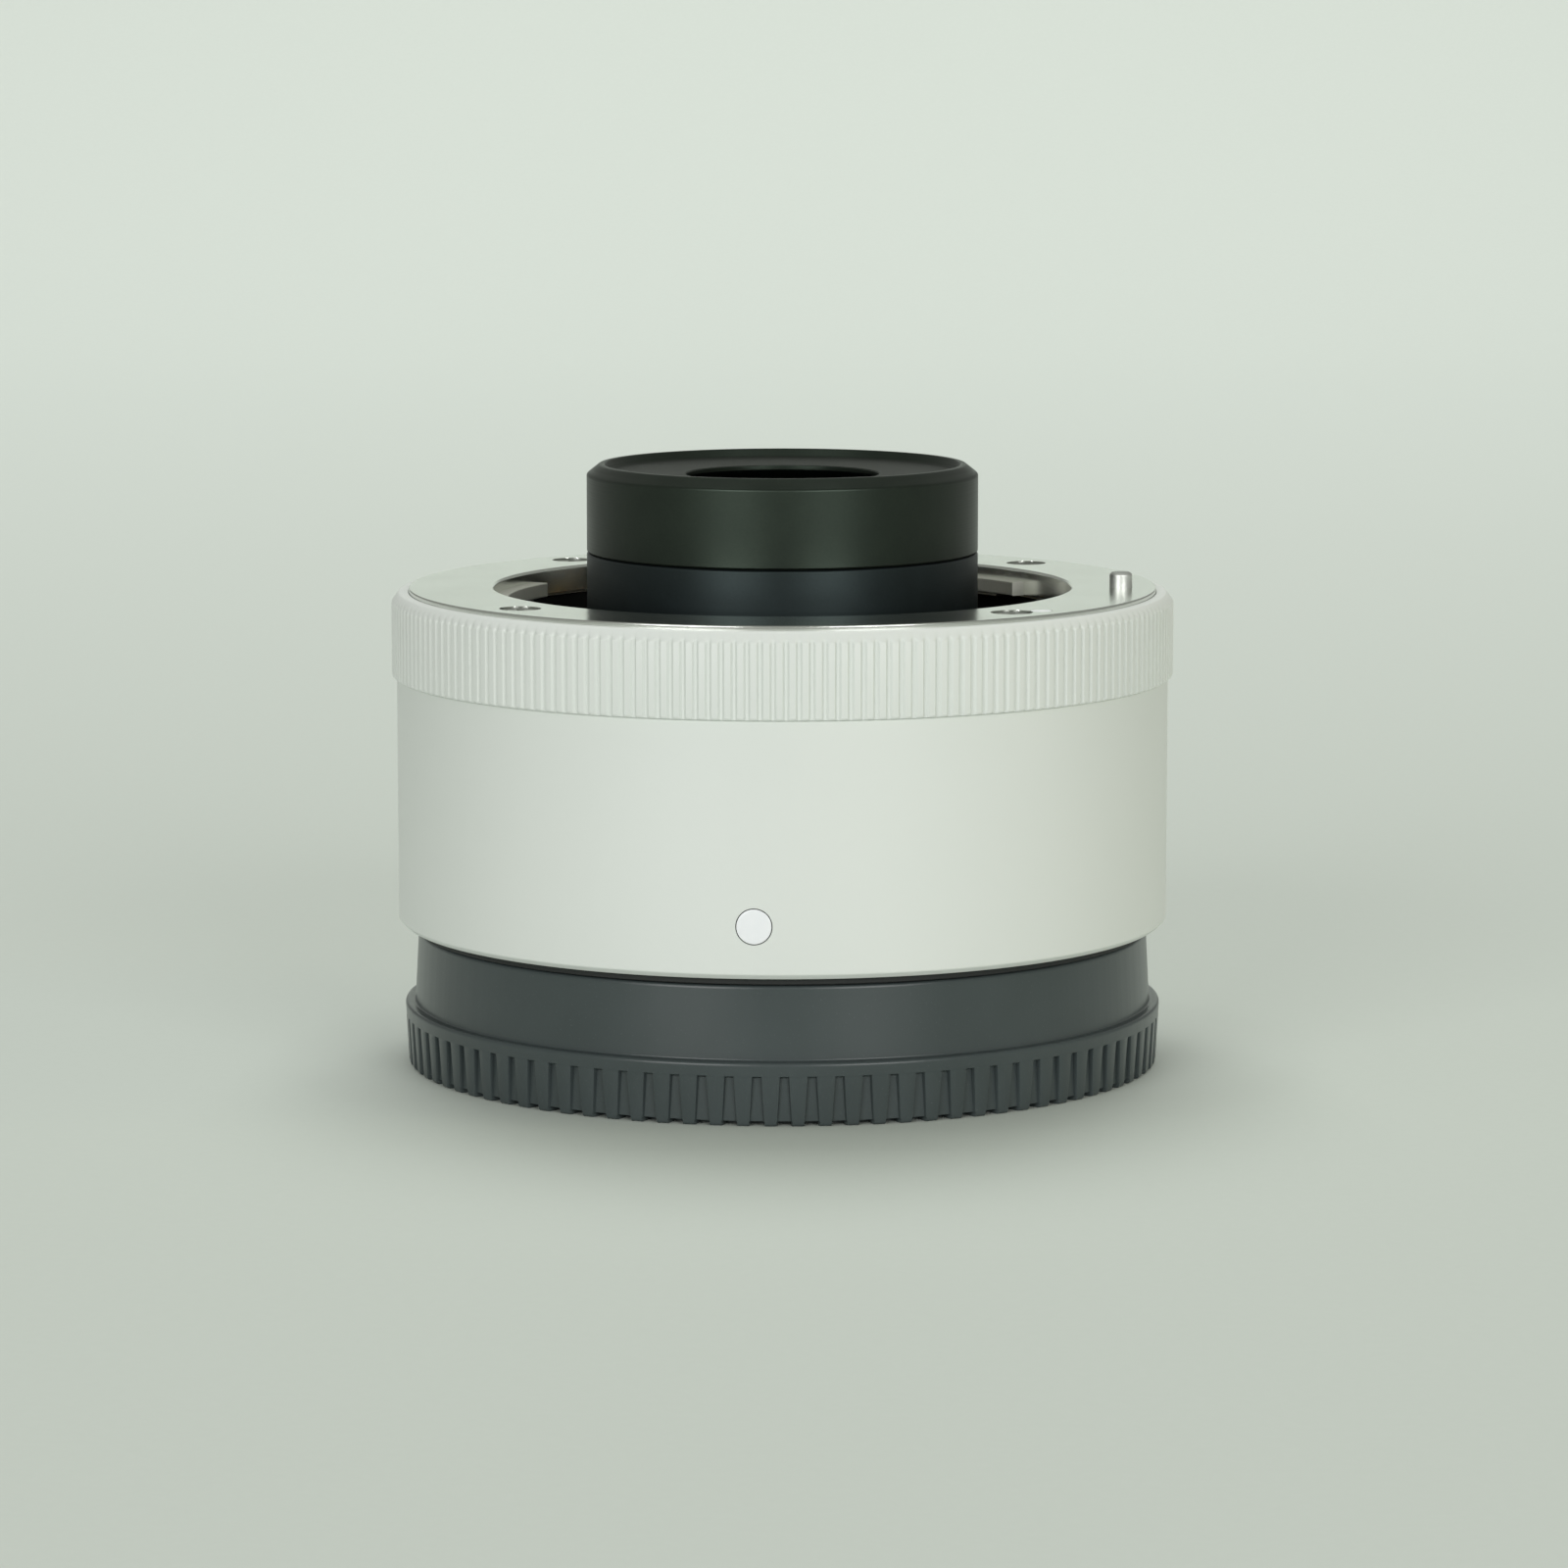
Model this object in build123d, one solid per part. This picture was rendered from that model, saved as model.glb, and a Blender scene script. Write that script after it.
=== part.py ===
from build123d import *
import os
from math import cos, pi, radians, sin, sqrt

# A teleconverter for interchangeable lenses, standing on its rear cap with the lens side up.
# The origin is the centre of the cap's underside. +Z is the optical axis, towards the lens.
# The index dot on the barrel faces -Y. Lengths are millimetres, and angles are degrees round
# the axis, counted from the index dot towards +X.

# Heights of the outside pieces, from the table upwards
cap_height = 10.72
cap_flange_height = 4.95
trim_ring_height = 0.62
barrel_height = 19.76
ribbed_ring_height = 6.65
mount_ring_proud = 0.35
tube_rise = 2.7
hood_height = 7.05

# The bayonet, the same at both ends. The radii of all the other pieces follow from its throat.
throat_radius = 23.05
claw_reach = 1.1
claw_depth = 0.95
claw_thickness = 1.15
claw_start_angle = 5
claw_span_angle = 58
claw_count = 3
lug_gap = 0.15
lug_depth = 2.25
lug_thickness = 1.3
lug_start_angle = 16
lug_span_angle = 44
bayonet_gap = 0.25
bayonet_wall = 1.5
twist_angle = 50
lock_angle = 90
mount_screw_angles = (45, 135, 225, 315)
claw_radius = throat_radius - claw_reach
lug_radius = throat_radius - lug_gap
bayonet_tube_radius = claw_radius - bayonet_gap

# Radii, from the throat outwards and from the claws inwards
chassis_bore_step = 1.05
chassis_wall = 1.3
lock_collar_gap = 0.2
lock_collar_radius = 1.4
mount_ring_margin = 2.8
barrel_rim_width = 1.0
barrel_wall = 1.6
ribbed_ring_step = 0.4
trim_shoulder_width = 0.3
cap_neck_inset = 0.29
cap_neck_draft = 0.31
cap_shoulder_width = 0.81
cap_flange_draft = 0.27
well_width = 6.35
cell_inset = 1.6
chassis_bore_radius = throat_radius + chassis_bore_step
chassis_tube_radius = chassis_bore_radius + chassis_wall
lock_circle_radius = chassis_tube_radius + lock_collar_gap + lock_collar_radius
mount_ring_radius = lock_circle_radius + mount_ring_margin
barrel_radius = mount_ring_radius + barrel_rim_width
barrel_inside_radius = barrel_radius - barrel_wall
ribbed_ring_radius = barrel_radius + ribbed_ring_step
trim_ring_radius = barrel_inside_radius + trim_shoulder_width
cap_neck_radius = trim_ring_radius - cap_neck_inset
cap_neck_foot_radius = cap_neck_radius + cap_neck_draft
cap_flange_radius = cap_neck_foot_radius + cap_shoulder_width
cap_foot_radius = cap_flange_radius - cap_flange_draft
tube_radius = claw_radius - well_width
cell_radius = tube_radius - cell_inset

# Clearances
turning_gap = 0.05
slip_gap = 0.05
running_gap = 0.03
cement_gap = 0.02
overrun = 1.0

# Screws, by size
large_screw = {"head_radius": 1.55, "head_height": 0.85, "shank_radius": 0.85}
small_screw = {"head_radius": 0.95, "head_height": 0.5, "shank_radius": 0.5}
recess_width_share = 0.36
recess_length_share = 1.3
recess_depth_share = 0.6

# Planes across the axis that many pieces share
mount_plane = cap_height + turning_gap
barrel_low = mount_plane + trim_ring_height
barrel_high = barrel_low + barrel_height
land_plane = barrel_high + ribbed_ring_height
face_plane = land_plane + mount_ring_proud
seam_plane = face_plane + tube_rise
hood_top = seam_plane + hood_height


def place(radius, angle):
    """The x and y of a point at a radius and an angle from the index dot."""
    return radius * sin(radians(angle)), -radius * cos(radians(angle))


def turned(points, start=0, span=360):
    """An outline of (radius, height) points turned about the axis, from the angle start on."""
    outline = Polyline(*[(radius, 0, height) for radius, height in points], close=True)
    return Rot(0, 0, start - 90) * revolve(make_face(outline), Axis.Z, span)


def ring(inner, outer, low, high, start=0, span=360):
    """A ring, or a sector of one, with a rectangular section."""
    return turned([(inner, low), (outer, low), (outer, high), (inner, high)], start, span)


def sector(inner, outer, low, high, middle, half_span):
    """A sector of a ring, centred on an angle."""
    return ring(inner, outer, low, high, middle - half_span, 2 * half_span)


def post(radius, low, high, circle=0, angle=0):
    """A cylinder parallel to the axis, standing at a place on a circle."""
    x, y = place(circle, angle)
    stand = (Align.CENTER, Align.CENTER, Align.MIN)
    return Pos(x, y, low) * Cylinder(radius, high - low, align=stand)


def screw(size, length):
    """A cross-recessed screw with its head's top at height 0 and its shank hanging down."""
    hang = (Align.CENTER, Align.CENTER, Align.MAX)
    head_radius, head_height = size["head_radius"], size["head_height"]
    body = Cylinder(head_radius, head_height, align=hang)
    body += Cylinder(size["shank_radius"], head_height + length, align=hang)
    recess_length = recess_length_share * head_radius
    recess_width = recess_width_share * head_radius
    recess_depth = recess_depth_share * head_height
    for turn in (0, 90):
        blade = Box(recess_length, recess_width, 2 * recess_depth)
        body -= Rot(0, 0, turn) * blade
    return body


def screws_down(size, length, head_top, circle, angles):
    """A set of equal screws on a circle, driven from above."""
    return group([Pos(*place(circle, a), head_top) * screw(size, length) for a in angles])


def screws_up(size, length, head_low, circle, angles):
    """A set of equal screws on a circle, driven from below."""
    turned_over = Rot(180, 0, 0) * screw(size, length)
    return group([Pos(*place(circle, a), head_low) * turned_over for a in angles])


def group(solids):
    """Separate solids kept together as one piece."""
    return Compound([solid for shape in solids for solid in shape.solids()])


def coil(mean_radius, wire_radius, low, high, turns, circle, angle):
    """A coil spring standing between two heights, its wire swept along climbing half turns."""
    climb = (high - low - 2 * wire_radius) / (2 * turns)

    def point(half_turns):
        phase = pi * half_turns
        height = low + wire_radius + climb * half_turns
        return mean_radius * cos(phase), mean_radius * sin(phase), height

    arcs = [ThreePointArc(point(n), point(n + 1 / 2), point(n + 1)) for n in range(2 * turns)]
    path = Wire(arcs)
    section = Plane(origin=path @ 0, z_dir=path % 0) * Circle(wire_radius)
    return Pos(*place(circle, angle), 0) * sweep(section, path)


# Rear cap: a moulded cup with a toothed grip flange. Three claws inside its throat hold the
# lugs of the rear mount, and webs tie the claw wall to the outer wall.
cap_wall = 1.6
cap_floor = 1.2
cap_foot_width = 5.92
cap_recess_depth = 0.4
cap_claw_wall = 1.55
cap_web_width = 1.2
cap_web_count = 12
cap_web_drop = 0.65
cap_rim_chamfer = 0.25
cap_neck_fillet = 0.12
cap_shoulder_fillet = 0.3
cap_foot_fillet = 0.3
grip_count = 90
grip_phase_angle = 0.3
grip_depth = 0.48
grip_top_width = 0.63
grip_low_width = 1.03
grip_top = 3.8
notch_height = 0.4
notch_depth = 1.22
cap_recess_radius = cap_foot_radius - cap_foot_width
grip_floor_radius = cap_flange_radius - grip_depth


def rear_cap():
    """The cup and its claws, with the grip's pockets and the open notches under them."""
    floor_top = cap_recess_depth + cap_floor
    wall_inside = cap_neck_radius - cap_wall
    claw_wall_outside = throat_radius + cap_claw_wall
    body = turned([
        (0, cap_recess_depth), (cap_recess_radius, cap_recess_depth), (cap_recess_radius, 0),
        (cap_foot_radius, 0), (cap_flange_radius, cap_flange_height),
        (cap_neck_foot_radius, cap_flange_height), (cap_neck_radius, cap_height - cap_rim_chamfer),
        (cap_neck_radius - cap_rim_chamfer, cap_height), (wall_inside, cap_height),
        (wall_inside, floor_top), (claw_wall_outside, floor_top),
        (claw_wall_outside, cap_height), (throat_radius, cap_height),
        (throat_radius, floor_top), (0, floor_top)])
    neck_foot = (cap_neck_foot_radius, 0, cap_flange_height)
    neck = body.edges().filter_by(GeomType.CIRCLE).sort_by_distance(neck_foot)[0]
    body = fillet(neck, cap_neck_fillet)
    shoulder = body.edges().filter_by(GeomType.CIRCLE).sort_by(lambda edge: edge.radius)[-1]
    body = fillet(shoulder, cap_shoulder_fillet)
    table_edges = body.edges().filter_by(GeomType.CIRCLE).group_by(Axis.Z)[0]
    body = fillet(table_edges.sort_by(lambda edge: edge.radius)[-1], cap_foot_fillet)
    body += cap_webs(claw_wall_outside, wall_inside, floor_top)
    claw_top = mount_plane - claw_depth
    for n in range(claw_count):
        start = claw_start_angle + n * 360 / claw_count
        root = throat_radius + cap_claw_wall / 2
        body += ring(claw_radius, root, claw_top - claw_thickness, claw_top, start, claw_span_angle)
    return body - cap_grip_cuts()


def cap_webs(inner, outer, floor_top):
    """Radial webs between the claw wall and the outer wall, sunk a little into each."""
    sink = cap_claw_wall / 4
    high = cap_height - cap_web_drop
    length = outer - inner + 2 * sink
    stand = (Align.CENTER, Align.MAX, Align.MIN)
    web = Pos(0, -inner + sink, floor_top) * Box(cap_web_width, length, high - floor_top,
                                                 align=stand)
    return [Rot(0, 0, (n + 1 / 2) * 360 / cap_web_count) * web for n in range(cap_web_count)]


def cap_grip_cuts():
    """One tapered pocket and one foot notch for each gap between the grip's teeth."""
    far = cap_flange_radius + overrun
    taper = (grip_low_width - grip_top_width) / (grip_top - notch_height)
    low = -overrun
    low_half = (grip_top_width + taper * (grip_top - low)) / 2
    top_half = grip_top_width / 2
    outline = Polyline((-low_half, -far, low), (low_half, -far, low), (top_half, -far, grip_top),
                       (-top_half, -far, grip_top), close=True)
    pocket = extrude(make_face(outline), far - grip_floor_radius, dir=(0, 1, 0))
    stand = (Align.CENTER, Align.MIN, Align.MAX)
    notch_length = far - grip_floor_radius + notch_depth
    notch = Pos(0, -far, notch_height) * Box(grip_low_width, notch_length, notch_height + overrun,
                                             align=stand)
    pitch = 360 / grip_count
    turns = [Rot(0, 0, grip_phase_angle + n * pitch) for n in range(grip_count)]
    return [turn * (pocket + notch) for turn in turns]


# Rear mount: a chromed brass flange with the male bayonet. Its lugs hold under the claws of the
# cap, or of a camera. Four screws hold it to the chassis, and it traps the trim ring.
rear_flange_gap = 0.4
rear_flange_height = 1.8
rear_step_width = 0.6
rear_step_height = 0.9
rear_lip_width = 0.6
rear_lip_height = 0.5
rear_screw_length = 2.3
lock_hole_radius = 1.0
lock_hole_depth = 1.4
bayonet_chamfer = 0.15
contact_depth = 4.2
bayonet_tube_bore = bayonet_tube_radius - bayonet_wall
rear_flange_radius = barrel_inside_radius - rear_flange_gap
rear_step_radius = rear_flange_radius - rear_step_width
rear_screw_circle = chassis_tube_radius
tube_low = mount_plane - contact_depth
rear_flange_top = mount_plane + rear_flange_height
baffle_seat = tube_low + rear_lip_height


def rear_mount():
    """Flange, tube and lugs, with screw seats, the lock hole and the contact block's holes."""
    body = turned([
        (bayonet_tube_bore - rear_lip_width, tube_low),
        (bayonet_tube_radius - bayonet_chamfer, tube_low),
        (bayonet_tube_radius, tube_low + bayonet_chamfer), (bayonet_tube_radius, mount_plane),
        (rear_flange_radius, mount_plane), (rear_flange_radius, mount_plane + rear_step_height),
        (rear_step_radius, mount_plane + rear_step_height), (rear_step_radius, rear_flange_top),
        (bayonet_tube_bore, rear_flange_top), (bayonet_tube_bore, baffle_seat),
        (bayonet_tube_bore - rear_lip_width, baffle_seat)])
    lug_top = mount_plane - lug_depth
    for n in range(claw_count):
        start = lug_start_angle + n * 360 / claw_count
        root = bayonet_tube_radius - bayonet_wall / 2
        body += ring(root, lug_radius, lug_top - lug_thickness, lug_top, start, lug_span_angle)
    seat = mount_plane + large_screw["head_height"] + slip_gap
    for angle in mount_screw_angles:
        body -= post(large_screw["head_radius"] + slip_gap, mount_plane - overrun, seat,
                     rear_screw_circle, angle)
        body -= post(large_screw["shank_radius"] + slip_gap, seat - overrun / 2,
                     rear_flange_top + overrun, rear_screw_circle, angle)
    body -= post(lock_hole_radius, mount_plane - overrun, mount_plane + lock_hole_depth,
                 lock_circle_radius, lock_angle)
    for angle in rear_block_screw_angles:
        body -= post(small_screw["shank_radius"] + slip_gap, mount_plane + rear_lip_height,
                     rear_flange_top + overrun, rear_block_screw_circle, angle)
    return body


def rear_mount_screws():
    """Four screws driven up through the rear mount into the chassis, their heads flush."""
    return screws_up(large_screw, rear_screw_length, mount_plane + slip_gap / 2,
                     rear_screw_circle, mount_screw_angles)


# Trim ring: a black ring between the cap's rim and the barrel. Its inner lip is trapped between
# the rear mount and the chassis, and its outer shoulder carries the barrel.
chassis_low = rear_flange_top


def rear_trim_ring():
    """A ring of stepped section round the rear mount's flange."""
    shown_inside = rear_flange_radius + slip_gap
    lip_inside = rear_step_radius + slip_gap
    lip_outside = barrel_inside_radius - slip_gap
    low = mount_plane + slip_gap
    lip_low = mount_plane + rear_step_height + slip_gap
    return turned([
        (shown_inside, low), (trim_ring_radius, low), (trim_ring_radius, barrel_low),
        (lip_outside, barrel_low), (lip_outside, chassis_low - slip_gap),
        (lip_inside, chassis_low - slip_gap), (lip_inside, lip_low), (shown_inside, lip_low)])


# Barrel: a white painted tube that stands on the trim ring's shoulder. It has a slot for the
# release lever and a blind hole for the index dot.
barrel_bevel = 0.4
barrel_top_bevel = 0.12
spigot_height = 0.95
spigot_wall = 0.6
rebate_radius = barrel_inside_radius + spigot_wall + 2 * slip_gap
rebate_depth = spigot_height + slip_gap
dot_radius = 1.33
dot_gap = 0.08
dot_height = 4.07
dot_depth = 1.15
dot_dome = 0.06


def barrel():
    """The tube with a bevelled foot, and a rebate at the top for the ribbed ring's spigot."""
    body = turned([
        (barrel_inside_radius, barrel_low), (barrel_radius - barrel_bevel, barrel_low),
        (barrel_radius, barrel_low + barrel_bevel), (barrel_radius, barrel_high - barrel_top_bevel),
        (barrel_radius - barrel_top_bevel, barrel_high), (rebate_radius, barrel_high),
        (rebate_radius, barrel_high - rebate_depth),
        (barrel_inside_radius, barrel_high - rebate_depth)])
    body -= dot_place() * Cylinder(dot_radius + dot_gap, 2 * dot_depth)
    slot_low = stem_low - lever_travel - lever_end_gap
    slot_high = stem_low + stem_height + lever_end_gap
    slot_width = stem_width + 2 * lever_side_gap
    slot_depth = barrel_radius - barrel_inside_radius + 2 * overrun
    slot = Pos(0, -(barrel_radius + overrun), slot_low) * Box(
        slot_width, slot_depth, slot_high - slot_low, align=(Align.CENTER, Align.MIN, Align.MIN))
    return body - Rot(0, 0, lever_angle) * slot


def dot_place():
    """The plane of the index dot: centred on the barrel's surface, its normal pointing out."""
    return Location((0, -barrel_radius, barrel_low + dot_height), (90, 0, 0))


def index_dot():
    """A round white plug in the barrel's hole, its front slightly domed."""
    hang = (Align.CENTER, Align.CENTER, Align.MAX)
    plug = Cylinder(dot_radius, dot_depth, align=hang)
    sphere_radius = (dot_radius ** 2 + dot_dome ** 2) / (2 * dot_dome)
    dome = Pos(0, 0, dot_dome - sphere_radius) * Sphere(sphere_radius)
    plug += Cylinder(dot_radius, dot_dome, align=(Align.CENTER, Align.CENTER, Align.MIN)) & dome
    return dot_place() * plug


# Ribbed ring: the white grip ring above the barrel, milled with straight ribs and chamfered at
# its top. The front mount ring sits on its inner shoulder and clamps it to the barrel.
rib_count = 200
rib_land_width = 0.66
rib_side_width = 0.05
rib_depth = 0.2
crown_chamfer_height = 0.8
crown_chamfer_width = 0.6
rib_foot_chamfer = 0.15
mount_ring_height = 2.75
mount_seat = face_plane - mount_ring_height


def ribbed_ring():
    """The ring's section turned, then cut to the ribs' outline seen from above."""
    spigot_inside = barrel_inside_radius + slip_gap
    body = turned([
        (spigot_inside, barrel_high - spigot_height),
        (spigot_inside + spigot_wall, barrel_high - spigot_height),
        (spigot_inside + spigot_wall, barrel_high),
        (ribbed_ring_radius - rib_foot_chamfer, barrel_high),
        (ribbed_ring_radius, barrel_high + rib_foot_chamfer),
        (ribbed_ring_radius, land_plane - crown_chamfer_height),
        (ribbed_ring_radius - crown_chamfer_width, land_plane),
        (mount_ring_radius + slip_gap, land_plane), (mount_ring_radius + slip_gap, mount_seat),
        (spigot_inside, mount_seat)])
    low = barrel_high - spigot_height - overrun
    ribs = Pos(0, 0, low) * extrude(rib_outline(), land_plane - low + overrun)
    return body & ribs


def rib_outline():
    """A face whose edge runs along each rib's land, down its side and along the groove."""
    root_radius = ribbed_ring_radius - rib_depth
    land = rib_land_width / 2 / ribbed_ring_radius
    side = rib_side_width / ribbed_ring_radius
    pitch = 2 * pi / rib_count
    corners = []
    for n in range(rib_count):
        for offset, radius in ((-land - side, root_radius), (-land, ribbed_ring_radius),
                               (land, ribbed_ring_radius), (land + side, root_radius)):
            angle = n * pitch + offset
            corners.append((radius * sin(angle), -radius * cos(angle)))
    return make_face(Polyline(*corners, close=True))


# Front mount ring: chromed brass, with the female bayonet's three claws, four countersunk screw
# seats, the lock pin's hole and a small filled index mark.
front_screw_inset = 0.25
front_screw_length = 3.6
front_head_drop = 0.12
ring_edge_chamfer = 0.12
throat_chamfer = 0.15
spring_recess_width = 1.55
index_mark_offset = 0.6
index_mark_radius = 0.83
index_mark_depth = 0.3
lock_pin_radius = 0.9
claw_low = face_plane - claw_depth - claw_thickness
front_screw_circle = lock_circle_radius - front_screw_inset
index_mark_circle = lock_circle_radius + index_mark_offset
spring_recess_radius = throat_radius + spring_recess_width


def front_mount_ring():
    """The ring's section turned, its claws added, and its holes cut."""
    body = turned([
        (spring_recess_radius, mount_seat), (mount_ring_radius, mount_seat),
        (mount_ring_radius, face_plane - ring_edge_chamfer),
        (mount_ring_radius - ring_edge_chamfer, face_plane),
        (throat_radius + throat_chamfer, face_plane),
        (throat_radius, face_plane - throat_chamfer), (throat_radius, claw_low),
        (spring_recess_radius, claw_low)])
    for n in range(claw_count):
        start = claw_start_angle + n * 360 / claw_count
        root = (throat_radius + spring_recess_radius) / 2
        body += ring(claw_radius, root, claw_low, face_plane - claw_depth, start, claw_span_angle)
    seat = face_plane - front_head_drop - large_screw["head_height"] - slip_gap
    for angle in mount_screw_angles:
        body -= post(large_screw["head_radius"] + slip_gap, seat, face_plane + overrun,
                     front_screw_circle, angle)
        body -= post(large_screw["shank_radius"] + slip_gap, mount_seat - overrun,
                     seat + overrun / 2, front_screw_circle, angle)
    body -= post(lock_pin_radius + running_gap, mount_seat - overrun, face_plane + overrun,
                 lock_circle_radius, lock_angle)
    body -= post(index_mark_radius + running_gap, face_plane - index_mark_depth,
                 face_plane + overrun, index_mark_circle, twist_angle)
    return body


def front_mount_screws():
    """Four cross-head screws, just below the ring's face."""
    return screws_down(large_screw, front_screw_length, face_plane - front_head_drop,
                       front_screw_circle, mount_screw_angles)


def front_index_mark():
    """A small round paint fill, level with the ring's face."""
    return post(index_mark_radius, face_plane - index_mark_depth, face_plane,
                index_mark_circle, twist_angle)


# Bayonet spring: one flat ring of spring steel behind the claws. Slits free three leaves that
# pull a lens's lugs home.
leaf_thickness = 0.18
leaf_inset_angle = 6
leaf_slit_width = 0.2
leaf_slit_inset_angle = 5
leaf_edge_gap = 0.05
spring_ring_step = 0.3
spring_ring_inside = throat_radius + spring_ring_step


def bayonet_spring():
    """The flat ring and its leaves, each freed by a slit along its root."""
    high = claw_low - cement_gap
    low = high - leaf_thickness
    body = ring(spring_ring_inside, spring_recess_radius - 2 * leaf_edge_gap, low, high)
    leaf_span = claw_span_angle - 2 * leaf_inset_angle
    slit_span = leaf_span - 2 * leaf_slit_inset_angle
    slit_inside = spring_ring_inside - leaf_slit_width
    for n in range(claw_count):
        start = claw_start_angle + leaf_inset_angle + n * 360 / claw_count
        body += ring(claw_radius + leaf_edge_gap, spring_ring_inside + leaf_edge_gap, low, high,
                     start, leaf_span)
        body -= ring(slit_inside, spring_ring_inside, low - overrun, high + overrun,
                     start + leaf_slit_inset_angle, slit_span)
    return body


# Chassis: the inner frame that both mounts are screwed to. A tube joins its two flanges, and a
# web across it carries the optics and the electronics.
chassis_gap = 0.3
chassis_flange_height = 1.8
web_height = 2.0
web_bore_inset = 1.4
liner_ledge_width = 1.2
liner_floor_height = 0.8
well_depth = 6.65
well_floor_rise = 3.5
screw_boss_radius = 1.9
screw_boss_drop = 2.6
board_post_radius = 1.3
board_post_angles = (0, 120, 240)
board_drop = 5.2
bracket_height = 1.8
bracket_drop = 4.9
bracket_start_angle = 83
bracket_span_angle = 30
link_plate_drop = 3.0
chassis_radius = barrel_inside_radius - chassis_gap
well_floor = face_plane - well_depth
web_top = well_floor - well_floor_rise
web_low = web_top - web_height
web_bore_radius = tube_radius - web_bore_inset
liner_ledge_radius = chassis_bore_radius - liner_ledge_width
board_top = web_low - board_drop
link_plate_low = mount_seat - link_plate_drop
bracket_top = link_plate_low - bracket_drop
liner_ledge = well_floor - liner_floor_height - slip_gap
top_flange_low = mount_seat - chassis_flange_height


def chassis():
    """The turned frame with its bosses, board posts and spring bracket, then its holes."""
    body = turned([
        (chassis_bore_radius, chassis_low), (chassis_radius, chassis_low),
        (chassis_radius, chassis_low + chassis_flange_height),
        (chassis_tube_radius, chassis_low + chassis_flange_height),
        (chassis_tube_radius, top_flange_low), (chassis_radius, top_flange_low),
        (chassis_radius, mount_seat), (chassis_bore_radius, mount_seat),
        (chassis_bore_radius, liner_ledge), (liner_ledge_radius, liner_ledge),
        (liner_ledge_radius, web_top), (web_bore_radius, web_top), (web_bore_radius, web_low),
        (chassis_bore_radius, web_low)])
    for angle in mount_screw_angles:
        body += post(screw_boss_radius, top_flange_low - screw_boss_drop,
                     top_flange_low + slip_gap, front_screw_circle, angle)
    for angle in board_post_angles:
        body += post(board_post_radius, board_top + slip_gap, web_low + slip_gap,
                     board_post_circle, angle)
    body += ring(chassis_tube_radius - slip_gap, chassis_radius, bracket_top - bracket_height,
                 bracket_top, bracket_start_angle, bracket_span_angle)
    return body - chassis_holes()


def chassis_holes():
    """Screw holes, the lock pin's way and the slot for the front flexible circuit."""
    large_hole = large_screw["shank_radius"] + slip_gap
    small_hole = small_screw["shank_radius"] + slip_gap
    front_depth = front_screw_length + slip_gap
    front_low = face_plane - front_head_drop - large_screw["head_height"] - front_depth
    rear_high = mount_plane + large_screw["head_height"] + rear_screw_length + 2 * slip_gap
    cuts = [post(large_hole, front_low, mount_seat + overrun, front_screw_circle, a)
            for a in mount_screw_angles]
    cuts += [post(large_hole, chassis_low - overrun, rear_high, rear_screw_circle, a)
             for a in mount_screw_angles]
    cuts += [post(small_hole, board_top - overrun, board_top + board_screw_length + slip_gap,
                  board_post_circle, a) for a in board_post_angles]
    cuts += [post(small_hole, web_low - overrun, web_top + overrun, tube_screw_circle, a)
             for a in tube_screw_angles]
    cuts += [post(small_hole, web_low - overrun, web_top + overrun, cell_screw_circle, a)
             for a in cell_screw_angles]
    cuts += [post(small_hole, web_low - overrun, web_top + overrun, block_middle_radius, a)
             for a in front_block_screw_angles]
    cuts.append(post(lock_hole_radius, top_flange_low - overrun, mount_seat + overrun,
                     lock_circle_radius, lock_angle))
    cuts.append(sector(front_block_outside, front_flex_outside + slip_gap, web_low - overrun,
                       web_top + overrun, contact_angle, flex_half_span + slot_end_angle))
    return cuts


# Well liner: a black moulded cup that lines the well round the front tube.
liner_wall = 0.7
liner_tube_gap = 0.15


def well_liner():
    """A floor and a wall, with an opening for the contact block and its flexible circuit."""
    outside = chassis_bore_radius - 2 * slip_gap
    floor_low = liner_ledge + slip_gap
    top = claw_low - leaf_thickness - 2 * slip_gap
    body = turned([
        (tube_radius + liner_tube_gap, floor_low), (outside, floor_low), (outside, top),
        (outside - liner_wall, top), (outside - liner_wall, well_floor),
        (tube_radius + liner_tube_gap, well_floor)])
    opening_inside = front_block_inside - liner_tube_gap
    return body - sector(opening_inside, front_flex_outside + liner_tube_gap,
                         floor_low - overrun, well_floor + overrun, contact_angle,
                         front_block_half_span + slot_end_angle)


# Contacts. Ten sprung pins stand in a block in the front well, and ten pads face the camera in
# a block in the rear mount. Both rows are centred opposite the index dot.
contact_angle = 180
contact_count = 10
contact_pitch_angle = 6
contact_half_row = (contact_count - 1) / 2 * contact_pitch_angle
contact_angles = [contact_angle - contact_half_row + n * contact_pitch_angle
                  for n in range(contact_count)]
front_block_tube_gap = 0.8
front_block_claw_gap = 0.75
front_block_drop = 5.0
front_block_screw_step_angle = 4.5
front_block_end_angle = 3
block_base_height = 0.9
block_chamfer = 0.3
slot_end_angle = 1.5
pin_radius = 0.4
pin_collar_radius = 0.65
pin_collar_height = 0.5
pin_stub_radius = 0.3
pin_stub_length = 0.7
pin_travel = 1.0
pin_pressed_rise = 0.3
pin_tip_chamfer = 0.2
pin_guide_length = 1.3
pin_spring_radius = 0.5
pin_spring_wire = 0.06
pin_spring_turns = 6
pin_bore_radius = 0.75
front_block_inside = tube_radius + front_block_tube_gap
front_block_outside = claw_radius - front_block_claw_gap
block_middle_radius = (front_block_inside + front_block_outside) / 2
front_block_screw_offset = contact_half_row + front_block_screw_step_angle
front_block_half_span = front_block_screw_offset + front_block_end_angle
front_block_top = face_plane - front_block_drop
front_block_low = web_top + slip_gap
block_low = front_block_low + block_base_height + slip_gap
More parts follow.
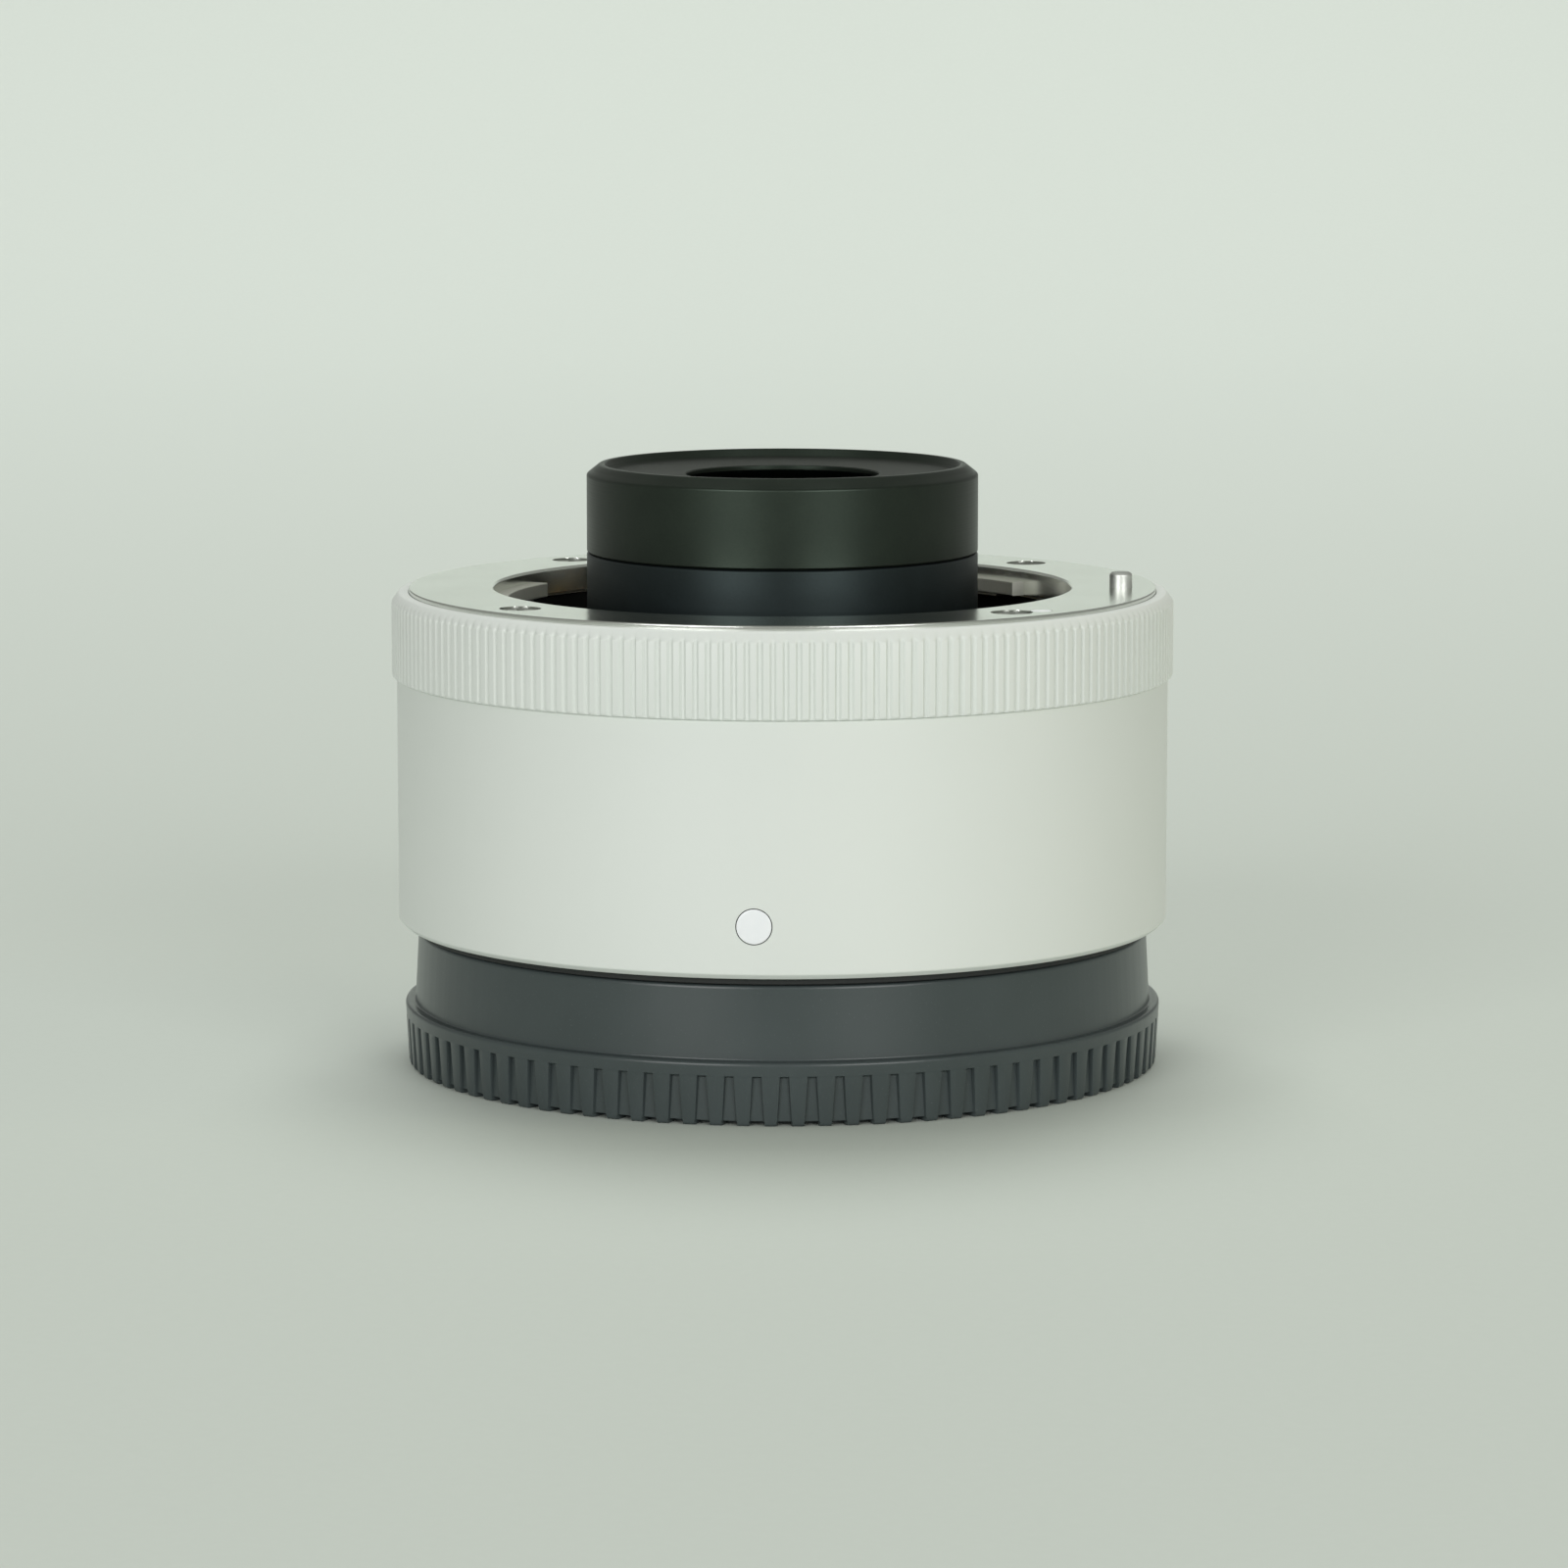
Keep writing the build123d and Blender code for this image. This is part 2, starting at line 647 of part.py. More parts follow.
pin_shoulder = front_block_top - pin_guide_length
pin_collar_top = pin_shoulder - slip_gap
front_block_screw_angles = (contact_angle - front_block_screw_offset,
                            contact_angle + front_block_screw_offset)
front_block_screw_length = 4.0


def front_contact_block():
    """The upper moulding, with a stepped bore for each pin and its upper edges chamfered."""
    high = front_block_top
    body = turned([
        (front_block_inside, block_low), (front_block_outside, block_low),
        (front_block_outside, high - block_chamfer), (front_block_outside - block_chamfer, high),
        (front_block_inside + block_chamfer, high), (front_block_inside, high - block_chamfer)],
        contact_angle - front_block_half_span, 2 * front_block_half_span)
    for angle in contact_angles:
        body -= post(pin_radius + running_gap, block_low, high + overrun,
                     block_middle_radius, angle)
        body -= post(pin_bore_radius, block_low - overrun, pin_shoulder,
                     block_middle_radius, angle)
    for angle in front_block_screw_angles:
        hole_top = web_low + front_block_screw_length + slip_gap
        body -= post(small_screw["shank_radius"] + slip_gap, block_low - overrun, hole_top,
                     block_middle_radius, angle)
    return body


def front_contact_base():
    """The plate under the block that the pins' springs stand on."""
    body = sector(front_block_inside, front_block_outside, front_block_low,
                  front_block_low + block_base_height, contact_angle, front_block_half_span)
    for angle in front_block_screw_angles:
        body -= post(small_screw["shank_radius"] + slip_gap, web_low, front_block_top,
                     block_middle_radius, angle)
    return body


def front_block_screws():
    """Two screws driven up through the web into the block."""
    return screws_up(small_screw, front_block_screw_length,
                     web_low - small_screw["head_height"], block_middle_radius,
                     front_block_screw_angles)


def contact_pin(angle):
    """A plunger with a chamfered tip, a collar below the block's shoulder and a spring stub."""
    collar_low = pin_collar_top - pin_collar_height
    tip = front_block_top + pin_pressed_rise + pin_travel
    pin = turned([
        (0, collar_low - pin_stub_length), (pin_stub_radius, collar_low - pin_stub_length),
        (pin_stub_radius, collar_low), (pin_collar_radius, collar_low),
        (pin_collar_radius, pin_collar_top), (pin_radius, pin_collar_top),
        (pin_radius, tip - pin_tip_chamfer), (pin_radius - pin_tip_chamfer, tip), (0, tip)])
    return Pos(*place(block_middle_radius, angle), 0) * pin


def contact_springs():
    """A small coil spring under each pin, standing on the base plate."""
    low = front_block_low + block_base_height
    high = pin_collar_top - pin_collar_height
    return group([coil(pin_spring_radius, pin_spring_wire, low, high, pin_spring_turns,
                       block_middle_radius, angle) for angle in contact_angles])


rear_block_width = 3.35
rear_block_end_angle = 6
rear_block_flange_gap = 0.7
rear_block_flange_height = 0.95
rear_block_screw_inset = 1.2
rear_block_screw_inset_angle = 7
rear_block_screw_length = 1.9
pad_width = 1.3
pad_length = 2.4
pad_thickness = 0.5
rear_block_outside = bayonet_tube_bore - rear_lip_width - slip_gap
rear_block_half_span = contact_half_row + rear_block_end_angle
rear_block_screw_offset = rear_block_half_span - rear_block_screw_inset_angle
rear_block_inside = rear_block_outside - rear_block_width
rear_block_flange_radius = chassis_bore_radius - rear_block_flange_gap
rear_block_screw_circle = rear_block_flange_radius - rear_block_screw_inset
rear_block_screw_angles = (contact_angle - rear_block_screw_offset,
                           contact_angle + rear_block_screw_offset)
rear_block_top = rear_flange_top + slip_gap + rear_block_flange_height


def pad(width_gap, depth_gap):
    """One pad at the index dot's side, or with gaps added, the pocket that it sits in."""
    middle = (rear_block_inside + rear_block_outside) / 2
    stand = (Align.CENTER, Align.CENTER, Align.MIN)
    return Pos(0, -middle, tube_low - depth_gap) * Box(
        pad_width + 2 * width_gap, pad_length + 2 * width_gap, pad_thickness + depth_gap,
        align=stand)


def rear_contact_block():
    """An arc of moulding with a fixing flange, and a pocket for each pad in its rear face."""
    start = contact_angle - rear_block_half_span
    body = turned([
        (rear_block_inside, tube_low), (rear_block_outside, tube_low),
        (rear_block_outside, rear_flange_top + slip_gap),
        (rear_block_flange_radius, rear_flange_top + slip_gap),
        (rear_block_flange_radius, rear_block_top), (rear_block_inside, rear_block_top)],
        start, 2 * rear_block_half_span)
    for angle in contact_angles:
        body -= Rot(0, 0, angle) * pad(cement_gap, overrun)
    for angle in rear_block_screw_angles:
        body -= post(small_screw["shank_radius"] + slip_gap, rear_flange_top - overrun,
                     rear_block_top + overrun, rear_block_screw_circle, angle)
    slit = sector(rear_flex_inside - slip_gap, rear_flex_outside + slip_gap,
                  rear_flange_top - overrun, rear_block_top + overrun, contact_angle,
                  flex_half_span + slot_end_angle)
    return body - slit


def rear_contact_pads():
    """Ten flat pads, level with the block's rear face."""
    return group([Rot(0, 0, angle) * pad(0, 0) for angle in contact_angles])


def rear_block_screws():
    """Two screws driven down through the block's flange into the rear mount."""
    return screws_down(small_screw, rear_block_screw_length - small_screw["head_height"],
                       rear_block_top + small_screw["head_height"], rear_block_screw_circle,
                       rear_block_screw_angles)


# Circuit board: a ring round the rear lens cell, hung from the chassis posts. Two flexible
# circuits lead from it to the two contact blocks.
board_thickness = 0.8
board_cell_gap = 1.2
board_edge_gap = 0.3
board_post_inset = 2.1
board_screw_length = 2.6
flex_thickness = 0.15
flex_half_span = 12
flex_foot_length = 1.9
flex_rise = 2.5
chip_size = 5.5
chip_height = 0.9
chip_angle = 60
capacitor_length = 1.6
capacitor_width = 0.8
capacitor_height = 0.7
capacitor_count = 6
capacitor_first_angle = 270
capacitor_pitch_angle = 10
board_low = board_top - board_thickness
board_inside_radius = cell_radius + board_cell_gap
board_outside_radius = chassis_bore_radius - board_edge_gap
board_post_circle = board_outside_radius - board_post_inset
chip_circle = (board_inside_radius + board_outside_radius) / 2
front_flex_outside = front_block_outside + slip_gap + flex_thickness
rear_flex_inside = rear_block_outside + slip_gap
rear_flex_outside = rear_flex_inside + flex_thickness


def circuit_board():
    """A flat ring with a hole at each post."""
    body = ring(board_inside_radius, board_outside_radius, board_low, board_top)
    for angle in board_post_angles:
        body -= post(small_screw["shank_radius"] + slip_gap, board_low - overrun,
                     board_top + overrun, board_post_circle, angle)
    return body


def board_screws():
    """Three screws driven up through the board into the posts."""
    return screws_up(small_screw, board_screw_length, board_low - small_screw["head_height"],
                     board_post_circle, board_post_angles)


def board_chips():
    """A processor and a row of capacitors, soldered to the board's upper face."""
    stand = (Align.CENTER, Align.CENTER, Align.MIN)
    chip = Rot(0, 0, chip_angle) * Pos(0, -chip_circle, board_top)
    parts = [chip * Box(chip_size, chip_size, chip_height, align=stand)]
    capacitor = Box(capacitor_width, capacitor_length, capacitor_height, align=stand)
    for n in range(capacitor_count):
        angle = capacitor_first_angle + n * capacitor_pitch_angle
        parts.append(Rot(0, 0, angle) * Pos(0, -chip_circle, board_top) * capacitor)
    return group(parts)


def front_flex():
    """A strip up the outer side of the front block, with a foot on the board."""
    inside = front_block_outside + slip_gap
    low = board_top
    high = block_low + flex_rise
    return turned([
        (inside - flex_foot_length, low), (front_flex_outside, low), (front_flex_outside, high),
        (inside, high), (inside, low + flex_thickness),
        (inside - flex_foot_length, low + flex_thickness)],
        contact_angle - flex_half_span, 2 * flex_half_span)


def rear_flex():
    """A strip from the board's lower face down the outer side of the rear block."""
    low = baffle_seat + flex_rise / 2
    foot = rear_flex_outside + flex_foot_length
    return turned([
        (rear_flex_inside, low), (rear_flex_outside, low),
        (rear_flex_outside, board_low - flex_thickness), (foot, board_low - flex_thickness),
        (foot, board_low), (rear_flex_inside, board_low)],
        contact_angle - flex_half_span, 2 * flex_half_span)


# Rear baffle: a black cup in the rear mount's tube, with a rectangular window for the light.
baffle_floor = 1.0
baffle_wall = 1.1
baffle_height = 4.0
window_width = 25.0
window_length = 17.0
window_corner_radius = 3.0


def rear_baffle():
    """The cup with its window, cut away where the contact block stands."""
    outside = bayonet_tube_bore - 2 * slip_gap
    low = baffle_seat + slip_gap
    body = turned([
        (0, low), (outside, low), (outside, low + baffle_height),
        (outside - baffle_wall, low + baffle_height), (outside - baffle_wall, low + baffle_floor),
        (0, low + baffle_floor)])
    window = RectangleRounded(window_width, window_length, window_corner_radius)
    body -= Pos(0, 0, low - overrun) * extrude(window, baffle_floor + 2 * overrun)
    return body - sector(rear_block_inside - 2 * slip_gap, outside + overrun, low - overrun,
                         low + baffle_height + overrun, contact_angle,
                         rear_block_half_span + slot_end_angle)


# Front tube and hood: black anodised. The tube is screwed to the web and holds the front
# lens group, and the hood screws onto the tube's top with a thin seam between them.
tube_flange_width = 3.9
tube_flange_height = 1.55
tube_screw_offset = 2.1
tube_screw_angles = (0, 110, 250)
tube_screw_length = 3.0
tube_wall = 3.0
front_ledge_width = 1.7
tube_spigot_step = 1.0
hood_crown_height = 2.7
seam_gap = 0.05
seam_chamfer = 0.12
hood_chamfer_height = 0.8
hood_chamfer_width = 1.0
hood_rim_width = 0.4
hood_wall_drop = 0.65
hood_wall_lean = 0.3
hood_opening_inset = 7.9
hood_ledge_drop = 0.19
hood_edge_height = 0.35
hood_spigot_gap = 0.1
tube_top = hood_top - hood_crown_height
tube_flange_radius = tube_radius + tube_flange_width
tube_screw_circle = tube_radius + tube_screw_offset
tube_spigot_radius = tube_radius - tube_spigot_step
front_bore_radius = tube_radius - tube_wall
front_ledge_radius = front_bore_radius - front_ledge_width
hood_opening_radius = tube_radius - hood_opening_inset


def lens_tube():
    """The tube with its flange, its spigot for the hood and a ledge for the lens group."""
    low = web_top + slip_gap
    flange_top = low + tube_flange_height
    body = turned([
        (front_ledge_radius, low), (tube_flange_radius, low), (tube_flange_radius, flange_top),
        (tube_radius, flange_top), (tube_radius, seam_plane - seam_chamfer),
        (tube_radius - seam_chamfer, seam_plane), (tube_spigot_radius, seam_plane),
        (tube_spigot_radius, tube_top), (front_bore_radius, tube_top),
        (front_bore_radius, front_group_low), (front_ledge_radius, front_group_low)])
    body -= sector(front_block_inside - 2 * liner_tube_gap, tube_flange_radius + overrun,
                   low - overrun, flange_top + slip_gap, contact_angle,
                   front_block_half_span + slot_end_angle)
    for angle in tube_screw_angles:
        body -= post(small_screw["shank_radius"] + slip_gap, low - overrun,
                     flange_top + overrun, tube_screw_circle, angle)
    return body


def tube_screws():
    """Three screws driven down through the tube's flange into the web."""
    flange_top = web_top + slip_gap + tube_flange_height
    return screws_down(small_screw, tube_screw_length, flange_top + small_screw["head_height"],
                       tube_screw_circle, tube_screw_angles)


def hood_ring():
    """A threaded ring with a chamfered rim, and a sloping ledge round the front lens."""
    low = seam_plane + seam_gap
    bore = tube_spigot_radius + slip_gap
    rim_outside = tube_radius - hood_chamfer_width
    rim_inside = rim_outside - hood_rim_width
    ledge_high = hood_top - hood_wall_drop
    ledge_low = ledge_high - hood_ledge_drop
    return turned([
        (bore, low), (tube_radius - seam_chamfer, low), (tube_radius, low + seam_chamfer),
        (tube_radius, hood_top - hood_chamfer_height), (rim_outside, hood_top),
        (rim_inside, hood_top), (rim_inside - hood_wall_lean, ledge_high),
        (hood_opening_radius, ledge_low), (hood_opening_radius, ledge_low - hood_edge_height),
        (front_bore_radius, tube_top + hood_spigot_gap), (bore, tube_top + hood_spigot_gap)])


# Lenses: six elements in five groups. Two groups stand in the front tube, on its ledge, and
# three in the rear cell, under its lip. Sags are how far a face bulges at its centre.
front_lens_radius = front_bore_radius - slip_gap
doublet_rear_height = 1.6
doublet_front_height = 1.9
front_spacer_height = 2.1
front_element_height = 2.3
spacer_wall = 2.15
cement_sag = 0.8
front_element_sag = 0.55
retainer_height = 1.25
retainer_reach = 2.6
retainer_rise = 0.45
retainer_foot = 0.35
retainer_slot_width = 1.2
retainer_slot_depth = 0.5
retainer_inside = front_bore_radius - retainer_reach
front_element_top = tube_top - retainer_height - slip_gap
front_element_low = front_element_top - front_element_height
doublet_top = front_element_low - front_spacer_height
doublet_joint = doublet_top - doublet_front_height
front_group_low = doublet_joint - doublet_rear_height


def lens(radius, low, high, low_sag, high_sag):
    """A round lens with a straight edge between two heights and spherical faces."""
    def face_curve(edge, sag):
        if sag == 0:
            return Line((radius, 0, edge), (0, 0, edge))
        sphere_radius = (radius ** 2 + sag ** 2) / (2 * abs(sag))
        half_way = sqrt(sphere_radius ** 2 - (radius / 2) ** 2) - sphere_radius + abs(sag)
        bulge = half_way if sag > 0 else -half_way
        return ThreePointArc((radius, 0, edge), (radius / 2, 0, edge + bulge), (0, 0, edge + sag))
    outline = [face_curve(low, -low_sag), face_curve(high, high_sag),
               Line((radius, 0, low), (radius, 0, high)),
               Line((0, 0, low - low_sag), (0, 0, high + high_sag))]
    return revolve(make_face(outline), Axis.Z)


def lens_element_1():
    """The front element, a meniscus."""
    return lens(front_lens_radius, front_element_low, front_element_top,
                -front_element_sag / 2, front_element_sag)


def lens_element_2():
    """The hollow half of the cemented pair."""
    return lens(front_lens_radius, doublet_joint, doublet_top, -cement_sag, -cement_sag / 2)


def lens_element_3():
    """The bulging half of the cemented pair, which stands on the tube's ledge."""
    return lens(front_lens_radius, front_group_low, doublet_joint - cement_gap, 0, cement_sag)


def front_spacer():
    """A ring between the cemented pair and the front element."""
    return ring(front_lens_radius - spacer_wall, front_lens_radius, doublet_top,
                front_element_low)


def front_retaining_ring():
    """A threaded ring over the front element's edge, with two slots for a spanner."""
    low = front_element_top + slip_gap
    high = low + retainer_height
    body = turned([
        (front_lens_radius - retainer_foot, low), (front_lens_radius, low),
        (front_lens_radius, high), (retainer_inside, high),
        (retainer_inside, low + retainer_rise)])
    slots = Pos(0, 0, high) * Box(2 * front_lens_radius + overrun, retainer_slot_width,
                                  2 * retainer_slot_depth)
    return body - slots


cell_wall = 2.4
cell_lip_width = 1.0
cell_lip_height = 1.95
cell_drop = 0.4
cell_flange_width = 3.0
cell_flange_height = 1.35
cell_screw_offset = 1.7
cell_screw_angles = (60, 180, 300)
cell_screw_length = 2.6
rear_retainer_height = 1.2
rear_element_height = 2.2
rear_spacer_height = 1.6
middle_element_height = 2.2
upper_element_height = 2.4
rear_retainer_reach = 1.8
rear_element_sag = 0.4
middle_element_sag = 0.6
upper_element_sag = 0.5
spacer_bevel = 0.25
cell_bore_radius = cell_radius - cell_wall
cell_lip_radius = cell_bore_radius - cell_lip_width
cell_flange_radius = cell_radius + cell_flange_width
cell_screw_circle = cell_radius + cell_screw_offset
rear_lens_radius = cell_bore_radius - slip_gap
rear_retainer_inside = cell_bore_radius - rear_retainer_reach
cell_low = mount_plane - cell_drop
cell_top = web_low - slip_gap
cell_ledge = cell_top - cell_lip_height
rear_element_low = cell_low + rear_retainer_height
rear_element_top = rear_element_low + rear_element_height
middle_element_low = rear_element_top + rear_spacer_height
middle_element_top = middle_element_low + middle_element_height
upper_element_low = cell_ledge - upper_element_height


def rear_lens_cell():
    """A tube under the web, with a fixing flange and a lip above its lenses."""
    flange_low = cell_top - cell_flange_height
    body = turned([
        (cell_bore_radius, cell_low), (cell_radius, cell_low), (cell_radius, flange_low),
        (cell_flange_radius, flange_low), (cell_flange_radius, cell_top),
        (cell_lip_radius, cell_top), (cell_lip_radius, cell_ledge),
        (cell_bore_radius, cell_ledge)])
    for angle in cell_screw_angles:
        body -= post(small_screw["shank_radius"] + slip_gap, flange_low - overrun,
                     cell_top + overrun, cell_screw_circle, angle)
    return body


def cell_screws():
    """Three screws driven up through the cell's flange into the web."""
    head_low = cell_top - cell_flange_height - small_screw["head_height"]
    return screws_up(small_screw, cell_screw_length, head_low, cell_screw_circle,
                     cell_screw_angles)


def lens_element_4():
    """A hollow element under the cell's lip."""
    return lens(rear_lens_radius, upper_element_low, cell_ledge, -upper_element_sag,
                -upper_element_sag)


def lens_element_5():
    """A bulging element in the middle of the cell."""
    return lens(rear_lens_radius, middle_element_low, middle_element_top, middle_element_sag,
                middle_element_sag)


def lens_element_6():
    """The rearmost element."""
    return lens(rear_lens_radius, rear_element_low, rear_element_top, -rear_element_sag,
                -rear_element_sag / 2)


def middle_spacer():
    """A long ring between the upper two elements of the cell, bevelled at its lower end."""
    inside = rear_lens_radius - spacer_wall / 2
    low = middle_element_top + slip_gap
    return turned([
        (inside, low + spacer_bevel), (rear_lens_radius - retainer_foot, low),
        (rear_lens_radius, low), (rear_lens_radius, upper_element_low),
        (inside, upper_element_low)])


def rear_spacer():
    """A short ring between the lower two elements of the cell, bevelled at its upper end."""
    inside = rear_lens_radius - spacer_wall / 2
    high = middle_element_low - slip_gap
    return turned([
        (inside, rear_element_top), (rear_lens_radius, rear_element_top),
        (rear_lens_radius, high), (rear_lens_radius - retainer_foot, high),
        (inside, high - spacer_bevel)])


def rear_retaining_ring():
    """A threaded ring under the rearmost element, with two slots for a spanner."""
    body = ring(rear_retainer_inside, rear_lens_radius, cell_low, rear_element_low)
    slots = Pos(0, 0, cell_low) * Box(2 * rear_lens_radius + overrun, retainer_slot_width,
                                      2 * retainer_slot_depth)
    return body - slots


# Lens release: a lever on the barrel slides towards the cap. Its link plate presses the lock
# pin's collar down, and two springs on the chassis bracket push lever and pin back up.
lever_angle = 120
lever_travel = 1.3
lever_half_span = 8.5
lever_height = 5.2
lever_stem_drop = 1.1
lever_thickness = 1.75
lever_barrel_gap = 0.25
lever_end_gap = 0.2
lever_side_gap = 0.15
lever_groove_count = 4
lever_groove_depth = 0.35
lever_corner = 0.5
stem_drop = 8.15
stem_height = 3.4
stem_width = 3.2
link_inside_gap = 0.5
link_outside_gap = 0.6
link_thickness = 0.8
link_start_angle = 82
link_arm_half_span = 4.5
link_hole_gap = 0.15
lever_screw_length = 1.6
lever_screw_inset = 0.85
lock_pin_rise = 1.25
lock_collar_height = 0.8
lock_stub_radius = 0.6
lock_stub_length = 2.0
lock_tip_chamfer = 0.2
lock_spring_radius = 1.0
lock_spring_wire = 0.12
lock_spring_turns = 7
lever_spring_radius = 1.1
lever_spring_wire = 0.14
lever_spring_turns = 8
lever_spring_angle = 107
stem_low = barrel_high - stem_drop
lever_low = stem_low - lever_stem_drop
link_inside_radius = chassis_tube_radius + link_inside_gap
link_outside_radius = barrel_inside_radius - link_outside_gap
link_arm_inside = link_outside_radius - link_thickness
lock_collar_top = link_plate_low - slip_gap
lock_collar_low = lock_collar_top - lock_collar_height


def release_lever():
    """A ridged thumb piece outside the barrel and the stem that goes through its slot."""
    inside = barrel_radius + lever_barrel_gap
    outside = inside + lever_thickness
    high = lever_low + lever_height
    ridge = (lever_height - 2 * lever_corner) / (2 * lever_groove_count)
    outline = [(inside, lever_low), (outside - lever_corner, lever_low)]
    level = lever_low + lever_corner
    for _ in range(lever_groove_count):
        outline += [(outside, level), (outside, level + ridge),
                    (outside - lever_groove_depth, level + 3 * ridge / 2)]
        level += 2 * ridge
    outline += [(outside, level), (outside - lever_corner, high), (inside, high)]
    body = turned(outline, lever_angle - lever_half_span, 2 * lever_half_span)
    start = link_outside_radius + slip_gap
    stem = Pos(0, -start, stem_low) * Box(stem_width, inside - start + lever_corner, stem_height,
                                          align=(Align.CENTER, Align.MAX, Align.MIN))
    hole_radius = small_screw["shank_radius"] + slip_gap
    for height in lever_screw_heights():
        stem -= Pos(0, -start, height) * Rot(90, 0, 0) * Cylinder(hole_radius,
                                                                 2 * lever_screw_length)
    return body + Rot(0, 0, lever_angle) * stem


def lever_screw_heights():
    """The heights of the two screws that hold the lever to its link."""
    return stem_low + lever_screw_inset, stem_low + stem_height - lever_screw_inset


def lever_screws():
    """Two screws driven outwards through the link's arm into the lever's stem."""
    head_radius = link_arm_inside - small_screw["head_height"] - slip_gap
    one = Rot(-90, 0, 0) * screw(small_screw, lever_screw_length)
    return group([Rot(0, 0, lever_angle) * Pos(0, -head_radius, height) * one
                  for height in lever_screw_heights()])


def release_link():
    """A bent plate: one arm behind the lever, and a flat arc that reaches the lock pin."""
    end_angle = lever_angle + link_arm_half_span
    plate_high = link_plate_low + link_thickness
    body = ring(link_inside_radius, link_outside_radius, link_plate_low, plate_high,
                link_start_angle, end_angle - link_start_angle)
    body += sector(link_arm_inside, link_outside_radius, stem_low - link_thickness, plate_high,
                   lever_angle, link_arm_half_span)
    body -= post(lock_pin_radius + link_hole_gap, link_plate_low - overrun,
                 plate_high + overrun, lock_circle_radius, lock_angle)
    hole_radius = small_screw["shank_radius"] + slip_gap
    for height in lever_screw_heights():
        hole = Rot(90, 0, 0) * Cylinder(hole_radius, 2 * (link_thickness + overrun))
        body -= Rot(0, 0, lever_angle) * Pos(0, -link_arm_inside, height) * hole
    return body


def lock_pin():
    """A stepped steel pin: domed tip above the ring, collar under the link, stub for a spring."""
    tip = face_plane + lock_pin_rise
    stub_low = lock_collar_low - lock_stub_length
    pin = turned([
        (0, stub_low), (lock_stub_radius, stub_low),
        (lock_stub_radius, lock_collar_low), (lock_collar_radius, lock_collar_low),
        (lock_collar_radius, lock_collar_top), (lock_pin_radius, lock_collar_top),
        (lock_pin_radius, tip - lock_tip_chamfer), (lock_pin_radius - lock_tip_chamfer, tip),
        (0, tip)])
    return Pos(*place(lock_circle_radius, lock_angle), 0) * pin


def lock_pin_spring():
    """The coil spring under the lock pin's collar."""
    return coil(lock_spring_radius, lock_spring_wire, bracket_top, lock_collar_low,
                lock_spring_turns, lock_circle_radius, lock_angle)


def lever_spring():
    """The coil spring under the link plate."""
    return coil(lever_spring_radius, lever_spring_wire, bracket_top, link_plate_low,
                lever_spring_turns, lock_circle_radius, lever_spring_angle)


makers = [
    rear_cap, rear_mount, rear_mount_screws, rear_trim_ring, barrel, index_dot, ribbed_ring,
    front_mount_ring, front_mount_screws, front_index_mark, bayonet_spring, chassis, well_liner,
    front_contact_block, front_contact_base, front_block_screws, contact_springs,
    rear_contact_block, rear_contact_pads, rear_block_screws, circuit_board, board_screws,
    board_chips, front_flex, rear_flex, rear_baffle, lens_tube, tube_screws, hood_ring,
    lens_element_1, lens_element_2, lens_element_3, lens_element_4, lens_element_5,
    lens_element_6, front_spacer, middle_spacer, rear_spacer, front_retaining_ring,
    rear_retaining_ring, rear_lens_cell, cell_screws, release_lever, lever_screws, release_link,
    lock_pin, lock_pin_spring, lever_spring]
pieces = {maker.__name__: maker() for maker in makers}
for number, angle in enumerate(contact_angles, start=1):
    pieces[f"contact_pin_{number}"] = contact_pin(angle)

os.makedirs("parts", exist_ok=True)
for name, piece in pieces.items():
    export_step(piece, f"parts/{name}.step")
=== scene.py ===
import bmesh
import bpy
import mathutils
import numpy as np
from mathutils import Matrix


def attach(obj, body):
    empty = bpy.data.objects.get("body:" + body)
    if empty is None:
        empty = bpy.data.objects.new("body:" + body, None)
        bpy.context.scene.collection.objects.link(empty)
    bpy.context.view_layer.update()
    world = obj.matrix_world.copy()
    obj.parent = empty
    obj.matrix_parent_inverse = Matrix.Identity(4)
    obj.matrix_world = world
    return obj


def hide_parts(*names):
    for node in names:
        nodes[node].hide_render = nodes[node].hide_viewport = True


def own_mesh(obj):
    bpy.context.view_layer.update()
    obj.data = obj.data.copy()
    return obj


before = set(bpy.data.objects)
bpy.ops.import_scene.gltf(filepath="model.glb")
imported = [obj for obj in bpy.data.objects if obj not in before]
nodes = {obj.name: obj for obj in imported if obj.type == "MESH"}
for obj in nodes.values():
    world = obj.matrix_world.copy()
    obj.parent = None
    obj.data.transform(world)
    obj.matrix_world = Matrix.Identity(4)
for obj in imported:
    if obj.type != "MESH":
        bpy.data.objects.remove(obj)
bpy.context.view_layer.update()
scene = bpy.context.scene
scene.view_settings.view_transform = "Standard"


# The camera: a long lens about half a metre away, a little above the part and four degrees to
# the right of its index dot, so that the flat top shows as a thin ellipse.
mm = 0.001
camera_distance = 471.1 * mm
camera_height = 87.3 * mm
camera_azimuth = np.radians(4)
camera_pitch = np.radians(7.882)
camera_lens = 136.0
camera_shift = 0.00103
camera = bpy.data.objects.new("camera", bpy.data.cameras.new("camera"))
camera.data.sensor_width = 36
camera.data.lens = camera_lens
camera.data.shift_x = camera_shift
camera.location = (camera_distance * np.sin(camera_azimuth),
                   -camera_distance * np.cos(camera_azimuth), camera_height)
camera.rotation_euler = (np.pi / 2 - camera_pitch, 0, camera_azimuth)
scene.collection.objects.link(camera)
scene.camera = camera


